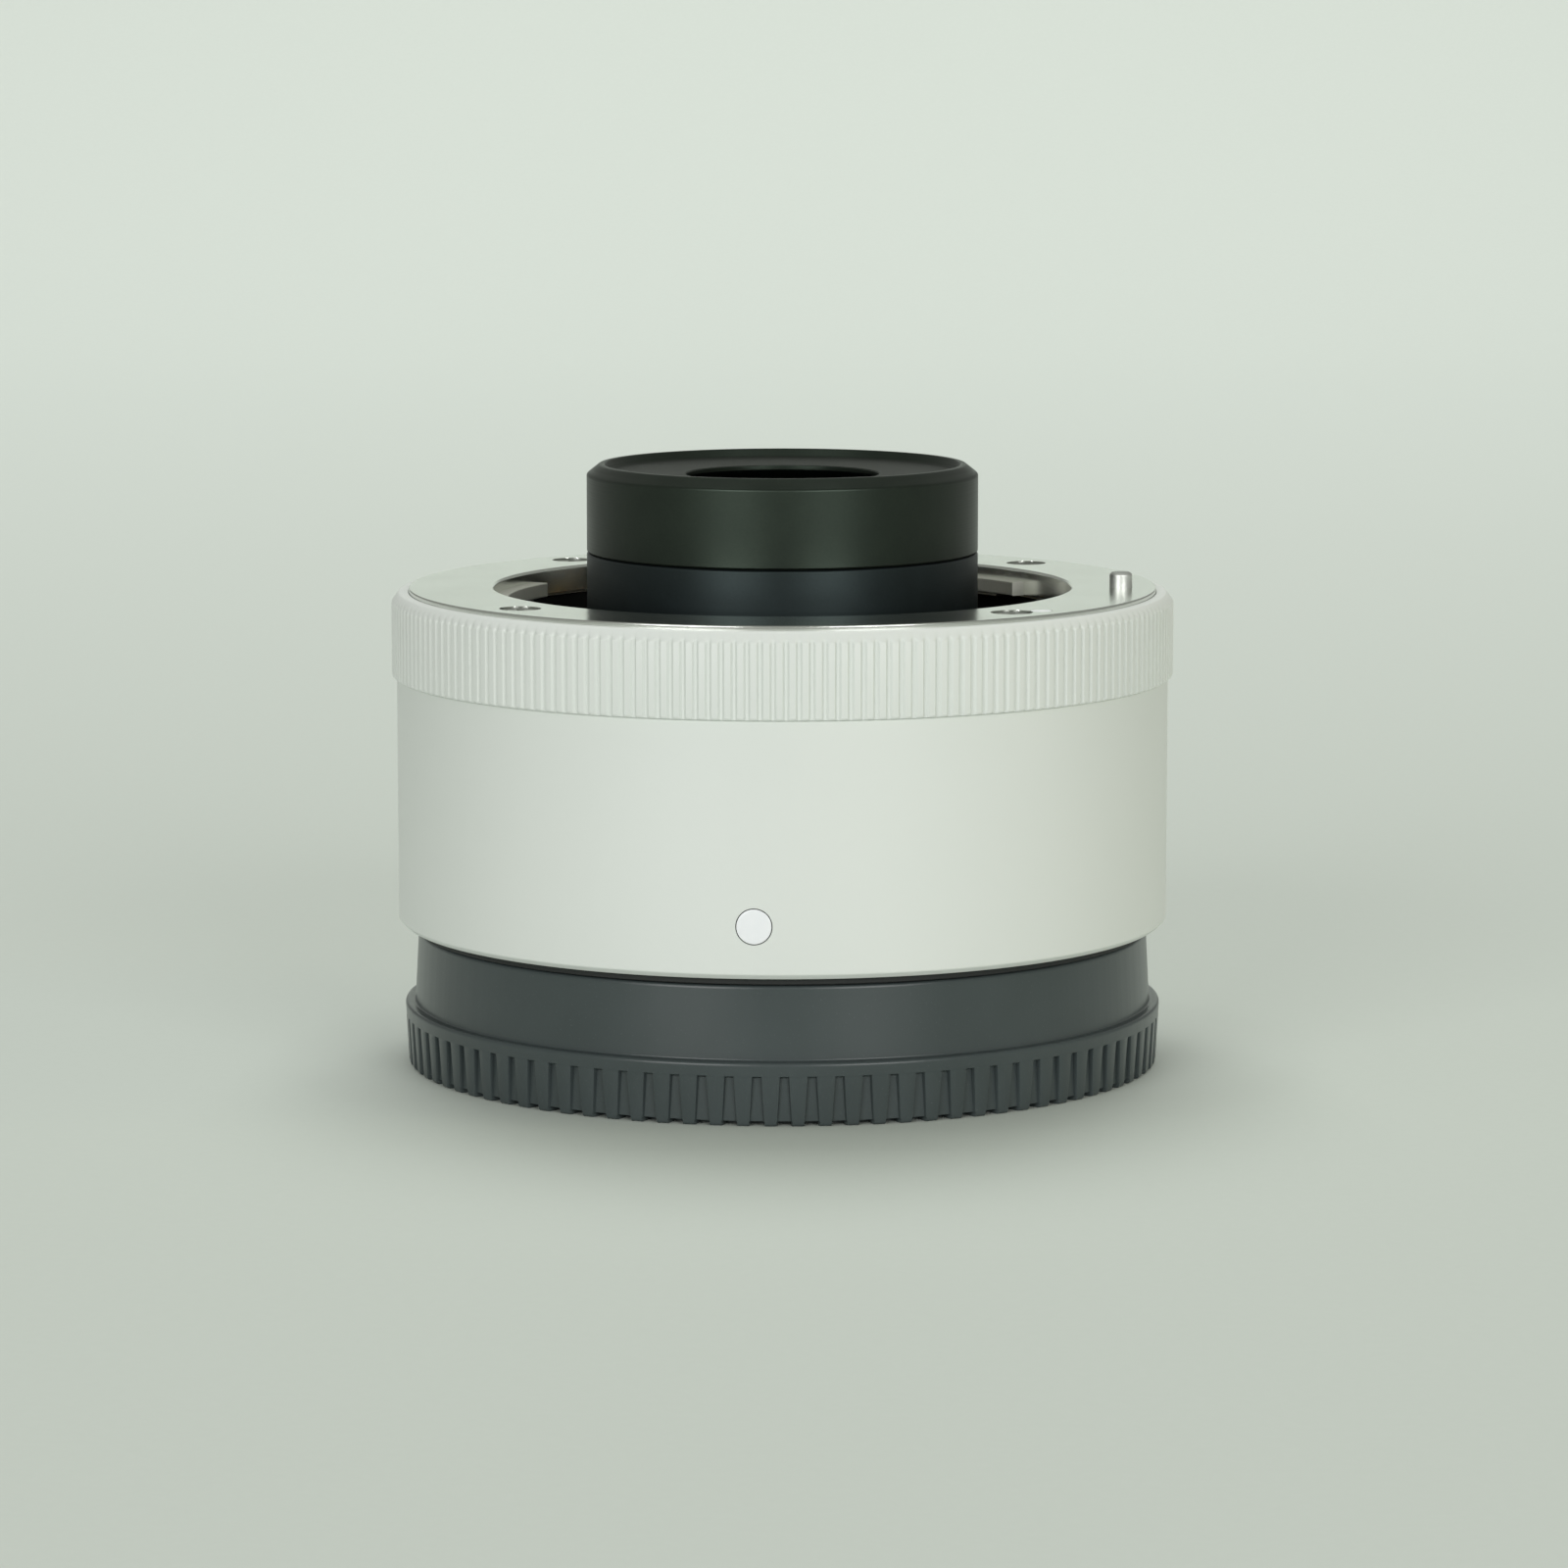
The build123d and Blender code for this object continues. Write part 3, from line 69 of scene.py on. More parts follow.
# The studio: a pale grey-green paper sweep, one sheet that lies under the part and curves up
# behind it. It is matt, with a faint mottle of fibres, and its colour grows lighter with depth,
# a painted light for how the lamps light the backdrop.
def linear(code):
    """An sRGB hex colour as the linear red, green, blue and alpha that a shader takes."""
    part = np.array([int(code[n:n + 2], 16) for n in (0, 2, 4)]) / 255
    straight, curved = part / 12.92, ((part + 0.055) / 1.055) ** 2.4
    return (*np.where(part <= 0.04045, straight, curved), 1)


def add(tree, kind, inputs, **settings):
    """Adds a node. Each input gets a value, or a link where the value is another's output."""
    node = tree.nodes.new("ShaderNode" + kind)
    for name, value in settings.items():
        setattr(node, name, value)
    for name, value in inputs.items():
        if isinstance(value, bpy.types.NodeSocket):
            tree.links.new(value, node.inputs[name])
        else:
            node.inputs[name].default_value = value
    return node


def finish(name, values):
    """A material with values on its shader's own sockets, and its tree, shader and place."""
    made = bpy.data.materials.new(name)
    made.use_nodes = True
    shader = made.node_tree.nodes["Principled BSDF"]
    for socket, value in values.items():
        shader.inputs[socket].default_value = value
    place = add(made.node_tree, "TexCoord", {}).outputs["Object"]
    return made, made.node_tree, shader, place


def skin(name, rings=(), bars=()):
    """A closed mesh over grids of points in millimetres. A grid's rows are closed outlines, and
    each row is joined to the next. In a ring the last row is joined to the first, and a bar has
    one face over each end. Points at one place become one, and all faces are turned outwards."""
    points, faces, count = [], [], 0
    for grid, closed in [(g, True) for g in rings] + [(g, False) for g in bars]:
        rows, columns = grid.shape[:2]
        index = count + np.arange(rows * columns).reshape(rows, columns)
        beside = np.roll(index, -1, 1)
        quads = np.stack([index, beside, np.roll(beside, -1, 0), np.roll(index, -1, 0)], -1)
        faces += quads[:rows if closed else rows - 1].reshape(-1, 4).tolist()
        if not closed:
            faces += [index[0, ::-1].tolist(), index[-1].tolist()]
        points.append(grid.reshape(-1, 3) * mm)
        count += rows * columns
    mesh = bpy.data.meshes.new(name)
    mesh.from_pydata(np.concatenate(points), [], faces)
    work = bmesh.new()
    work.from_mesh(mesh)
    bmesh.ops.remove_doubles(work, verts=work.verts, dist=1e-4 * mm)
    bmesh.ops.recalc_face_normals(work, faces=work.faces)
    work.to_mesh(mesh)
    work.free()
    piece = bpy.data.objects.new(name, mesh)
    scene.collection.objects.link(piece)
    return smooth(piece)


def smooth(piece, limit=38):
    """Shades a piece smooth, with a sharp line wherever two faces turn by over the limit."""
    piece.data.shade_smooth()
    piece.data.set_sharp_from_angle(angle=np.radians(limit))
    return piece


sweep_half_width = 270
sweep_front = -230
sweep_bend_start = 760
sweep_bend_radius = 400
sweep_top = 420
bend = np.radians(np.linspace(0, 90, 25))
sweep_line = np.concatenate([
    [(sweep_front, 0)],
    np.stack([sweep_bend_start + sweep_bend_radius * np.sin(bend),
              sweep_bend_radius * (1 - np.cos(bend))], -1),
    [(sweep_bend_start + sweep_bend_radius, sweep_top)]])
# The sheet is (x, path) for two values of x and every point of the line.
sheet = np.stack([np.insert(sweep_line, 0, x, 1) for x in (-sweep_half_width, sweep_half_width)])
sweep_mesh = bpy.data.meshes.new("paper_sweep")
strip = np.arange(len(sweep_line) - 1)
right = strip + len(sweep_line)
sweep_mesh.from_pydata(sheet.reshape(-1, 3) * mm, [],
                       np.stack([strip, right, right + 1, strip + 1], -1).tolist())
sweep_mesh.shade_smooth()
sweep_mesh.transform(mathutils.Matrix.Rotation(camera_azimuth, 4, "Z"))
sweep = bpy.data.objects.new("paper_sweep", sweep_mesh)
scene.collection.objects.link(sweep)
paper, tree, shader, place = finish("matt_paper", {"Roughness": 0.9,
                                                   "Specular IOR Level": 0.15})
fibre = add(tree, "TexNoise", {"Vector": place, "Scale": 1 / (0.9 * mm), "Detail": 4})
# Painted light: the colour runs from the floor's grey to a lighter one towards the back.
depth = add(tree, "SeparateXYZ", {"Vector": place}).outputs["Y"]
painted_light_rise = add(tree, "MapRange", {"Value": depth, "From Min": 0.0, "From Max": 0.75})
ground = add(tree, "Mix", {0: painted_light_rise.outputs["Result"], 6: linear("CAD1C9"),
                           7: linear("D8DFD8")}, data_type="RGBA").outputs[2]
mottle = add(tree, "HueSaturation", {"Color": ground, "Value": add(
    tree, "MapRange", {"Value": fibre.outputs["Fac"], "To Min": 0.985,
                       "To Max": 1.015}).outputs["Result"]})
tree.links.new(mottle.outputs["Color"], shader.inputs["Base Color"])
sweep_mesh.materials.append(paper)


# The light: a soft box on each side of the camera at about its height, two small ones high up on
# the left and the right that draw glints on the edges, and a weak warm one on the far right that
# tints the white barrel. Two wide ones above and behind only fill the paper, and don't mirror in
# the black parts. The room round the paper is an even grey.
def soft_box(name, azimuth, elevation, distance, side, watts, colour="FFFFFF",
             aim=(0, 0, 0.03), mirrors=True):
    """A square lamp that faces its aim, with its azimuth counted from the front of the part."""
    lamp = bpy.data.objects.new(name, bpy.data.lights.new(name, "AREA"))
    lamp.data.size = side
    lamp.data.energy = watts
    lamp.data.color = linear(colour)[:3]
    across, lift = np.radians(azimuth), np.radians(elevation)
    lamp.location = np.array(aim) + distance * np.array([
        np.cos(lift) * np.sin(across), -np.cos(lift) * np.cos(across), np.sin(lift)])
    lamp.rotation_euler = (np.pi / 2 - lift, 0, across)
    lamp.visible_glossy = lamp.visible_transmission = mirrors
    scene.collection.objects.link(lamp)


soft_box("left_soft_box", -24.5, 16, 1.5, 0.75, 7.9)
soft_box("right_soft_box", 31, 16, 1.5, 0.7, 7.1)
soft_box("left_top_box", -86, 73, 1.3, 0.09, 0.3)
soft_box("right_top_box", 94, 77, 1.3, 0.09, 0.3)
soft_box("warm_side_box", 86, 12, 1.2, 0.4, 1.1, "FFF3C0", mirrors=False)
soft_box("fill_box", 184, 62, 1.5, 1.0, 9.6, mirrors=False)
soft_box("paper_box", 0, 90, 1.5, 0.8, 3.9, aim=(-0.07, 0.88, 0), mirrors=False)
world = bpy.data.worlds.new("studio_room")
world.use_nodes = True
tree = world.node_tree
tree.nodes["Background"].inputs["Color"].default_value = linear("8C8E89")
scene.world = world


# Rear cap: one moulding in dark grey ABS, a cup with a skirt of ninety tapered pockets for the
# fingers and an open notch under each. Three claws inside grip the mount as the cap is twisted.
def eased(corners, radii, steps=5):
    """A closed outline of (r, z) corners, each eased by a curve. With a corner p and the points
    a and b at the radius before and after it, the curve is (1-u)(1-u) a + 2u(1-u) p + u u b. A
    holding point a little way before a, and one after b, keep the flat sides flat in shading."""
    p = np.array(corners, float)
    back, on = np.roll(p, 1, 0) - p, np.roll(p, -1, 0) - p
    back_length = np.linalg.norm(back, axis=1, keepdims=True)
    on_length = np.linalg.norm(on, axis=1, keepdims=True)
    side = np.minimum(np.broadcast_to(radii, len(p))[:, None],
                      0.7 * np.minimum(back_length, on_length))
    side[np.minimum(back_length, on_length) < 1e-9] = 0
    a, b = p + back / back_length * side, p + on / on_length * side
    u = np.linspace(0, 1, steps)[None, :, None]
    curve = (1 - u) ** 2 * a[:, None] + 2 * u * (1 - u) * p[:, None] + u ** 2 * b[:, None]
    hold_before, hold_after = a + back / back_length * side / 6, b + on / on_length * side / 6
    line = np.concatenate([hold_before[:, None], curve, hold_after[:, None]], 1).reshape(-1, 2)
    moved = np.linalg.norm(line - np.roll(line, 1, 0), axis=1) > 1e-6
    return line[moved]


def turn(r, z, angle):
    """A grid of points (r sin a, -r cos a, z), for angles in degrees from the index dot."""
    a = np.radians(angle)
    return np.stack(np.broadcast_arrays(r * np.sin(a), -r * np.cos(a), z), -1)


def lathe(outline, angles=np.arange(0, 360, 1)):
    """A closed outline of (r, z) turned about the axis, a row of the grid for each angle."""
    return turn(outline[:, 0], outline[:, 1], np.asarray(angles, float)[:, None])


def block(inner, outer, low, high, start, end, steps=8, ease=0.1):
    """A sector of a ring with eased long edges, a row of the grid for each of its angles."""
    outline = eased([(inner, low), (outer, low), (outer, high), (inner, high)], ease)
    return lathe(outline, np.linspace(start, end, steps))


def settle(piece, made, slot, body, *stands_for):
    """Gives a piece its finish and its body, and names the nodes it stands for, which it hides.
    The slot is not used.
    """
    piece.data.materials.append(made)
    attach(piece, body)
    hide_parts(*stands_for)


grip_count = 90
grip_phase = 0.3
grip_floor = 29.85
notch_floor = 28.63
notch_top = 0.4
pocket_top = 3.8
pocket_top_half = 0.315
pocket_low_half = 0.515
skirt = 4.95
skirt_round = 0.2
cap_foot_recess = 0.4
cap_floor = 1.6
cap_top = 10.72
cap_wall_inside = 27.61
collar_outside = 24.6
collar_inside = 23.05
web_top = 10.07
claw_tip = 21.95
claw_root = 23.8
claw_start = 5
claw_end = 63
web_half_angle = 1.3
cap_line = eased([
    (0, cap_foot_recess), (24.14, cap_foot_recess), (24.14, 0), (30.06, 0), (30.082, 0.4),
    (30.11, 0.9), (30.235, 3.2), (30.26, 3.66), (30.275, 3.95), (30.33, skirt), (29.52, skirt),
    (29.21, cap_top), (cap_wall_inside, cap_top), (cap_wall_inside, cap_floor),
    (collar_outside, cap_floor), (collar_outside, cap_top), (collar_inside, cap_top),
    (collar_inside, cap_floor), (0, cap_floor)],
    [0, 0.15, 0.2, 0.3, 0.06, 0.1, 0.1, 0.05, 0.05, 0.28, 0.12, 0.28, 0.25, 0.2, 0.2, 0.2, 0.2,
     0.2, 0])
# How far a column lies inside a pocket's slanted side, or a point under its top, and which share
# of the pocket's depth it has there. A point has the smaller of its two shares.
edge_offset = np.array([-0.1, -0.04, 0.0, 0.03])
top_offset = np.array([-0.12, -0.05, 0.0, 0.04])
edge_share = np.array([0.0, 0.07, 0.4, 1.0])
side_of = np.array([-1] * 4 + [1] * 4)
offset = np.concatenate([edge_offset, edge_offset[::-1]])
column_share = np.concatenate([edge_share, edge_share[::-1]])
r, z = cap_line.T
half = np.interp(z, [notch_top, pocket_top], [pocket_low_half, pocket_top_half])
columns = side_of[:, None] * (half[None, :] - offset[:, None])
pitch = 360 / grip_count
angles = (grip_phase + pitch * np.arange(grip_count)[:, None, None]
          + np.degrees(columns / grip_floor)[None])
outside = (r > grip_floor) & (z < skirt - skirt_round)
pocket = np.interp(pocket_top - z, top_offset, edge_share) * outside
notch = np.interp(notch_top - z, [0, 0.05], [0, 1]) * (r > notch_floor)
share = np.minimum(column_share[:, None], pocket[None])
deep = np.minimum(column_share[:, None], notch[None])
cup_r = r - np.maximum(r - grip_floor, 0) * share
cup_r = cup_r - np.maximum(cup_r - notch_floor, 0) * deep
cup = turn(cup_r[None], z, angles).reshape(-1, len(r), 3)
cap_claws = [block(claw_tip, claw_root, 8.67, 9.82, claw_start + a, claw_end + a, 30)
             for a in (0, 120, 240)]
cap_webs = [block(24.2, 28.2, cap_floor, web_top, a - web_half_angle, a + web_half_angle, 2)
            for a in range(15, 360, 30)]
cap = skin("rear_cap_moulding", [cup], cap_claws + cap_webs)

# ABS moulded in a spark-eroded tool: a fine even grain. Faint sparkles where its points would
# catch the light are a painted highlight, a lighter colour at the grain's high points. The grain
# is 0.06 mm, drawn here at 0.1 mm so that it shows.
cap_plastic, tree, shader, place = finish("moulded_grey_abs", {
    "Roughness": 0.29, "IOR": 1.53, "Specular IOR Level": 0.4})
grain = add(tree, "TexNoise", {"Vector": place, "Scale": 1 / (0.1 * mm), "Detail": 3})
flow = add(tree, "TexNoise", {"Vector": place, "Scale": 1 / (9 * mm), "Detail": 2})
tone = add(tree, "Mix", {0: flow.outputs["Fac"], 6: linear("384040"), 7: linear("464E4F")},
           data_type="RGBA").outputs[2]
# Painted highlight: the colour turns lighter where the grain is high, as glints.
point = add(tree, "MapRange", {"Value": grain.outputs["Fac"], "From Min": 0.66,
                               "From Max": 0.78})
painted_sparkle = add(tree, "Mix", {0: point.outputs["Result"], 6: tone, 7: linear("5E6665")},
              data_type="RGBA").outputs[2]
relief = add(tree, "Bump", {"Height": grain.outputs["Fac"], "Strength": 0.12,
                            "Distance": 0.02 * mm})
tree.links.new(painted_sparkle, shader.inputs["Base Color"])
tree.links.new(relief.outputs["Normal"], shader.inputs["Normal"])
settle(cap, cap_plastic, "grey_cap_plastic", "rear_cap", "rear_cap")


# Rear mount and its screws: turned brass, chromed, out of sight behind the cap. The same chrome
# is on the front mount ring, whose lapped face mirrors the tube that stands on it.
# The lathe leaves rings 0.05 mm apart, drawn at 0.15 mm so that they show.
chrome, tree, shader, place = finish("chromed_brass", {
    "Base Color": linear("E7EAE4"), "Metallic": 1.0, "Roughness": 0.2})
flat = add(tree, "VectorMath", {0: place, 1: (1, 1, 0)}, operation="MULTIPLY")
radius = add(tree, "VectorMath", {0: flat.outputs[0]}, operation="LENGTH").outputs["Value"]
level = add(tree, "SeparateXYZ", {"Vector": place}).outputs["Z"]
along = add(tree, "Math", {0: radius, 1: level}, operation="ADD").outputs[0]
rings = add(tree, "TexNoise", {"W": along, "Scale": 1 / (0.15 * mm), "Detail": 2},
            noise_dimensions="1D")
haze = add(tree, "TexNoise", {"Vector": place, "Scale": 1 / (6 * mm), "Detail": 3})
gloss = add(tree, "MapRange", {"Value": haze.outputs["Fac"], "To Min": 0.16, "To Max": 0.24})
relief = add(tree, "Bump", {"Height": rings.outputs["Fac"], "Strength": 0.08,
                            "Distance": 0.01 * mm})
tree.links.new(gloss.outputs["Result"], shader.inputs["Roughness"])
tree.links.new(relief.outputs["Normal"], shader.inputs["Normal"])


def dress(made, *names):
    """Gives CAD nodes, whose shapes are right as they are, their finish."""
    for name in names:
        nodes[name].material_slots[0].material = made


dress(chrome, "rear_mount")

# Steel screws, plated with nickel: a satin turned head with fine rings round its own axis is
# too small to show, so the head has only a faint uneven gloss.
steel, tree, shader, place = finish("nickelled_steel", {
    "Base Color": linear("989B94"), "Metallic": 1.0, "Roughness": 0.5})
wear = add(tree, "TexNoise", {"Vector": place, "Scale": 1 / (0.4 * mm), "Detail": 4})
gloss = add(tree, "MapRange", {"Value": wear.outputs["Fac"], "To Min": 0.44, "To Max": 0.56})
tree.links.new(gloss.outputs["Result"], shader.inputs["Roughness"])
dress(steel, "rear_mount_screws", "front_block_screws", "rear_block_screws", "board_screws",
      "tube_screws", "cell_screws", "lever_screws")


# Trim ring: a thin black moulding between the cap and the barrel, its lip trapped behind the
# rear mount. It reads as a dark line under the white barrel.
trim = skin("black_trim_ring", [lathe(eased([
    (28.85, 10.82), (29.5, 10.82), (29.5, 11.39), (29.15, 11.39), (29.15, 12.52), (28.25, 12.52),
    (28.25, 11.72), (28.85, 11.72)], 0.08))])

# Black ABS, moulded with a fine grain 0.15 mm wide that keeps it dull and breaks its glints.
black_plastic, tree, shader, place = finish("moulded_black_abs", {"Roughness": 0.6,
                                                                  "IOR": 1.53})
grain = add(tree, "TexNoise", {"Vector": place, "Scale": 1 / (0.15 * mm), "Detail": 3})
tone = add(tree, "Mix", {0: grain.outputs["Fac"], 6: linear("0F1211"), 7: linear("191D1D")},
           data_type="RGBA").outputs[2]
relief = add(tree, "Bump", {"Height": grain.outputs["Fac"], "Strength": 0.3,
                            "Distance": 0.02 * mm})
tree.links.new(tone, shader.inputs["Base Color"])
tree.links.new(relief.outputs["Normal"], shader.inputs["Normal"])
settle(trim, black_plastic, "black_trim", "converter", "rear_trim_ring")


# Barrel: a turned aluminium tube with a bevelled foot, sprayed white. It stands on the trim
# ring, with a round hole for the index dot and a slot at the back for the release lever.
def post(radius, low, high, sides=48):
    """A cylinder on the axis, as the outline (0, low), (r, low), (r, high), (0, high) turned."""
    outline = np.array([(0, low), (radius, low), (radius, high), (0, high)], float)
    return lathe(outline, np.arange(sides) * 360 / sides)


def place_at(grid, radius, angle):
    """A grid moved from the axis to a radius and an angle."""
    return grid + turn(np.array(radius), 0, angle)


def forwards(grid, y, height):
    """A grid about the axis laid down along -Y, and moved to a place on Y and a height."""
    return grid[..., [0, 2, 1]] * (1, -1, 1) + (0, y, height)


def cut(piece, rings=(), bars=()):
    """Takes closed shells out of a piece. The boolean's result becomes the piece's mesh."""
    cutter = skin("cutter", rings, bars)
    step = piece.modifiers.new("cut", "BOOLEAN")
    step.operation = "DIFFERENCE"
    step.solver = "EXACT"
    step.object = cutter
    bpy.context.view_layer.update()
    whole = piece.evaluated_get(bpy.context.evaluated_depsgraph_get())
    piece.data = bpy.data.meshes.new_from_object(whole)
    piece.modifiers.clear()
    bpy.data.objects.remove(cutter)
    return smooth(piece)


barrel_radius = 30.8
barrel_foot = 11.39
barrel_top = 31.15
dot_height = 15.46
dot_hole_radius = 1.41
lever_angle = 120
slot_half_width = 1.75
barrel = skin("white_barrel", [lathe(eased([
    (29.2, barrel_foot), (30.4, barrel_foot), (barrel_radius, barrel_foot + 0.4),
    (barrel_radius, barrel_top - 0.12), (30.68, barrel_top), (29.9, barrel_top), (29.9, 30.15),
    (29.2, 30.15)], [0.1, 0.1, 0.1, 0.06, 0.06, 0.1, 0.1, 0.1]))])
hole = forwards(post(dot_hole_radius, 0, 4), -28.5, dot_height)
slot_half = np.degrees(slot_half_width / barrel_radius)
slot = block(28, 33, 21.5, 26.6, lever_angle - slot_half, lever_angle + slot_half, ease=0.3)
cut(barrel, [hole], [slot])

# White acrylic enamel, sprayed with a fine grain: an eggshell skin of 0.3 mm dimples under a
# satin gloss. It yellows very slightly in broad patches, and reads as faintly green-grey.
enamel, tree, shader, place = finish("sprayed_white_enamel", {"IOR": 1.5})
dimple = add(tree, "TexNoise", {"Vector": place, "Scale": 1 / (0.3 * mm), "Detail": 2})
patch = add(tree, "TexNoise", {"Vector": place, "Scale": 1 / (14 * mm), "Detail": 2})
tone = add(tree, "Mix", {0: patch.outputs["Fac"], 6: linear("DCE1DC"), 7: linear("E0E4DF")},
           data_type="RGBA").outputs[2]
gloss = add(tree, "MapRange", {"Value": dimple.outputs["Fac"], "To Min": 0.36,
                               "To Max": 0.46})
relief = add(tree, "Bump", {"Height": dimple.outputs["Fac"], "Strength": 0.22,
                            "Distance": 0.02 * mm})
tree.links.new(tone, shader.inputs["Base Color"])
tree.links.new(gloss.outputs["Result"], shader.inputs["Roughness"])
tree.links.new(relief.outputs["Normal"], shader.inputs["Normal"])
settle(barrel, enamel, "white_paint", "converter", "barrel")


# Index dot: a round white plug pressed into the barrel's hole, which leaves a hairline round
# it. Its face is polished and very slightly domed.
dot_radius = 1.33
dot_depth = 1.15
dot_dome = 0.06
dot_line = np.array([(0, -dot_depth), (dot_radius, -dot_depth), (dot_radius, -dot_dome)]
                    + [(dot_radius * np.sqrt(1 - t * t), dot_dome * t)
                       for t in np.linspace(0, 1, 7)], float)
plug = lathe(dot_line, np.arange(0, 360, 5))
dot = skin("index_dot_plug", [forwards(plug, -barrel_radius, dot_height)])
dot_white, tree, shader, place = finish("white_polystyrene", {"Roughness": 0.22, "IOR": 1.59})
cloud = add(tree, "TexNoise", {"Vector": place, "Scale": 1 / (1.2 * mm), "Detail": 2})
tone = add(tree, "Mix", {0: cloud.outputs["Fac"], 6: linear("F0F3F6"), 7: linear("F6F7F9")},
           data_type="RGBA").outputs[2]
tree.links.new(tone, shader.inputs["Base Color"])
settle(dot, dot_white, "index_white", "converter", "index_dot")

# A black ring in the hairline round the plug, a little below the paint: painted shade for the
# dark of the gap.
gap_shade_line = np.array([(1.32, -0.4), (dot_hole_radius, -0.4), (dot_hole_radius, -0.13),
                      (1.365, -0.17), (1.32, -0.13)])
gap_shade_grid = lathe(gap_shade_line, np.arange(0, 360, 5))
gap_shade_ring = skin("index_dot_gap_shade", [forwards(gap_shade_grid, -barrel_radius, dot_height)])
settle(gap_shade_ring, black_plastic, "black_trim", "converter")


# Ribbed ring: an aluminium ring with two hundred straight ribs milled across its rim, chamfered
# at the top so that each rib ends in a small slanted facet, and sprayed with the same enamel.
rib_count = 200
rib_top_radius = 31.195
rib_root_radius = 31.0
ring_line = np.array([
    (29.25, 30.2), (29.85, 30.2), (29.85, barrel_top), (31.05, barrel_top), (31.18, 31.28),
    (rib_top_radius, 31.35), (rib_top_radius, 36.9), (31.17, 36.99), (31.12, 37.1),
    (31.0, 37.27), (30.66, 37.72), (30.6, 37.77), (30.5, 37.8), (29.85, 37.8), (29.85, 35.4),
    (29.25, 35.4)])
# Six columns cross a groove, each at its offset from the middle with its share of the depth.
groove_offset = np.array([-0.26, -0.18, -0.1, 0.1, 0.18, 0.26])
groove_share = np.array([0, 0.4, 1, 1, 0.4, 0])
pitch = 360 / rib_count
angles = (pitch * (np.arange(rib_count)[:, None] + 0.5)
          + np.degrees(groove_offset / rib_top_radius)[None]).reshape(-1, 1)
r, z = ring_line.T
share = np.tile(groove_share, rib_count)[:, None]
rib_r = r[None] - np.maximum(r[None] - rib_root_radius, 0) * share
ribbed = skin("white_ribbed_ring", [turn(rib_r, z[None], angles)])
settle(ribbed, enamel, "white_paint", "converter", "ribbed_ring")


# Release lever: a black thumb piece that slides down the barrel, four ridges across its face
# and its ends rounded. Its stem goes through the slot to the link plate inside.
lever_span = 8.5
lever_inside = 31.05
lever_outside = 32.8
lever_low = 21.9
lever_high = 27.1
lever_bevel = 0.5
ridge_pitch = 1.05
ridge_drop = 0.35
ridges = [(lever_outside - drop, lever_low + lever_bevel + ridge_pitch * (n + share))
          for n in range(4) for drop, share in ((0, 0), (0, 0.5), (ridge_drop, 0.75))]
lever_line = eased([(lever_inside, lever_low), (lever_outside - lever_bevel, lever_low)]
                   + ridges + [(lever_outside, lever_high - lever_bevel),
                               (lever_outside - lever_bevel, lever_high),
                               (lever_inside, lever_high)], 0.09, steps=4)
# Near its ends the face falls back on a quarter circle: the share is sqrt(1 - (1 - d)(1 - d)).
d = np.concatenate([np.linspace(0.04, 1, 7), [1] * 6, np.linspace(1, 0.04, 7)])
angles = lever_angle + lever_span * np.concatenate([
    np.linspace(-1, -0.87, 7), np.linspace(-0.7, 0.7, 6), np.linspace(0.87, 1, 7)])
share = np.sqrt(1 - (1 - d) ** 2)[:, None]
r, z = lever_line.T
face = turn(lever_inside + (r[None] - lever_inside) * share, z[None], angles[:, None])
stem_half_width = 1.6
stem_half = np.degrees(stem_half_width / lever_inside)
stem = block(28.65, 31.7, 23.0, 26.4, lever_angle - stem_half, lever_angle + stem_half)
lever = skin("release_lever_thumb_piece", [], [face, stem])
settle(lever, black_plastic, "lever_plastic", "release_lever", "release_lever")


# Front mount ring: turned brass with the lens's female bayonet, chromed and lapped. Three claws
# stand into its throat, and four screws, the lock pin and an index mark pass through its face.
face_plane = 38.15
ring_low = 35.4
throat_radius = 23.05
claw_low = 36.05
claw_high = 37.2
screw_circle = 26.75
screw_angles = (45, 135, 225, 315)
lock_circle = 27.0
lock_angle = 90
mark_circle = 27.6
mark_angle = 50
mark_depth = 0.3
ring_grid = lathe(eased([
    (24.6, ring_low), (29.8, ring_low), (29.8, 38.09), (29.74, face_plane), (23.2, face_plane),
    (throat_radius, 38.0), (throat_radius, claw_low), (24.6, claw_low)],
    [0.05, 0.05, 0.05, 0.03, 0.03, 0.06, 0.05, 0.05]))
mount_ring = skin("chromed_mount_ring", [ring_grid])
# A screw's seat is a hole for its thread, then a wider one for its head with a bevelled mouth.
cut_low = 34
cut_high = 39
seat_line = np.array([(0, cut_low), (0.9, cut_low), (0.9, 37.13), (1.6, 37.13), (1.6, 38.11),
                      (1.64, face_plane), (1.64, cut_high), (0, cut_high)], float)
seat = lathe(seat_line, np.arange(0, 360, 6))
holes = [place_at(seat, screw_circle, a) for a in screw_angles]
holes.append(place_at(post(0.93, cut_low, cut_high), lock_circle, lock_angle))
holes.append(place_at(post(0.86, face_plane - mark_depth, cut_high), mark_circle, mark_angle))
cut(mount_ring, holes)
settle(mount_ring, chrome, "chromed_brass", "converter", "front_mount_ring")

# The claws are blasted before they are plated, which leaves them duller than the face. Their
# colour is painted paler than the face's, to stand in for light that does not reach into the
# throat.
claws = [block(claw_tip, claw_root, claw_low, claw_high, claw_start + a, claw_end + a, 40)
         for a in (0, 120, 240)]
mount_claws = skin("chromed_mount_claws", [], claws)
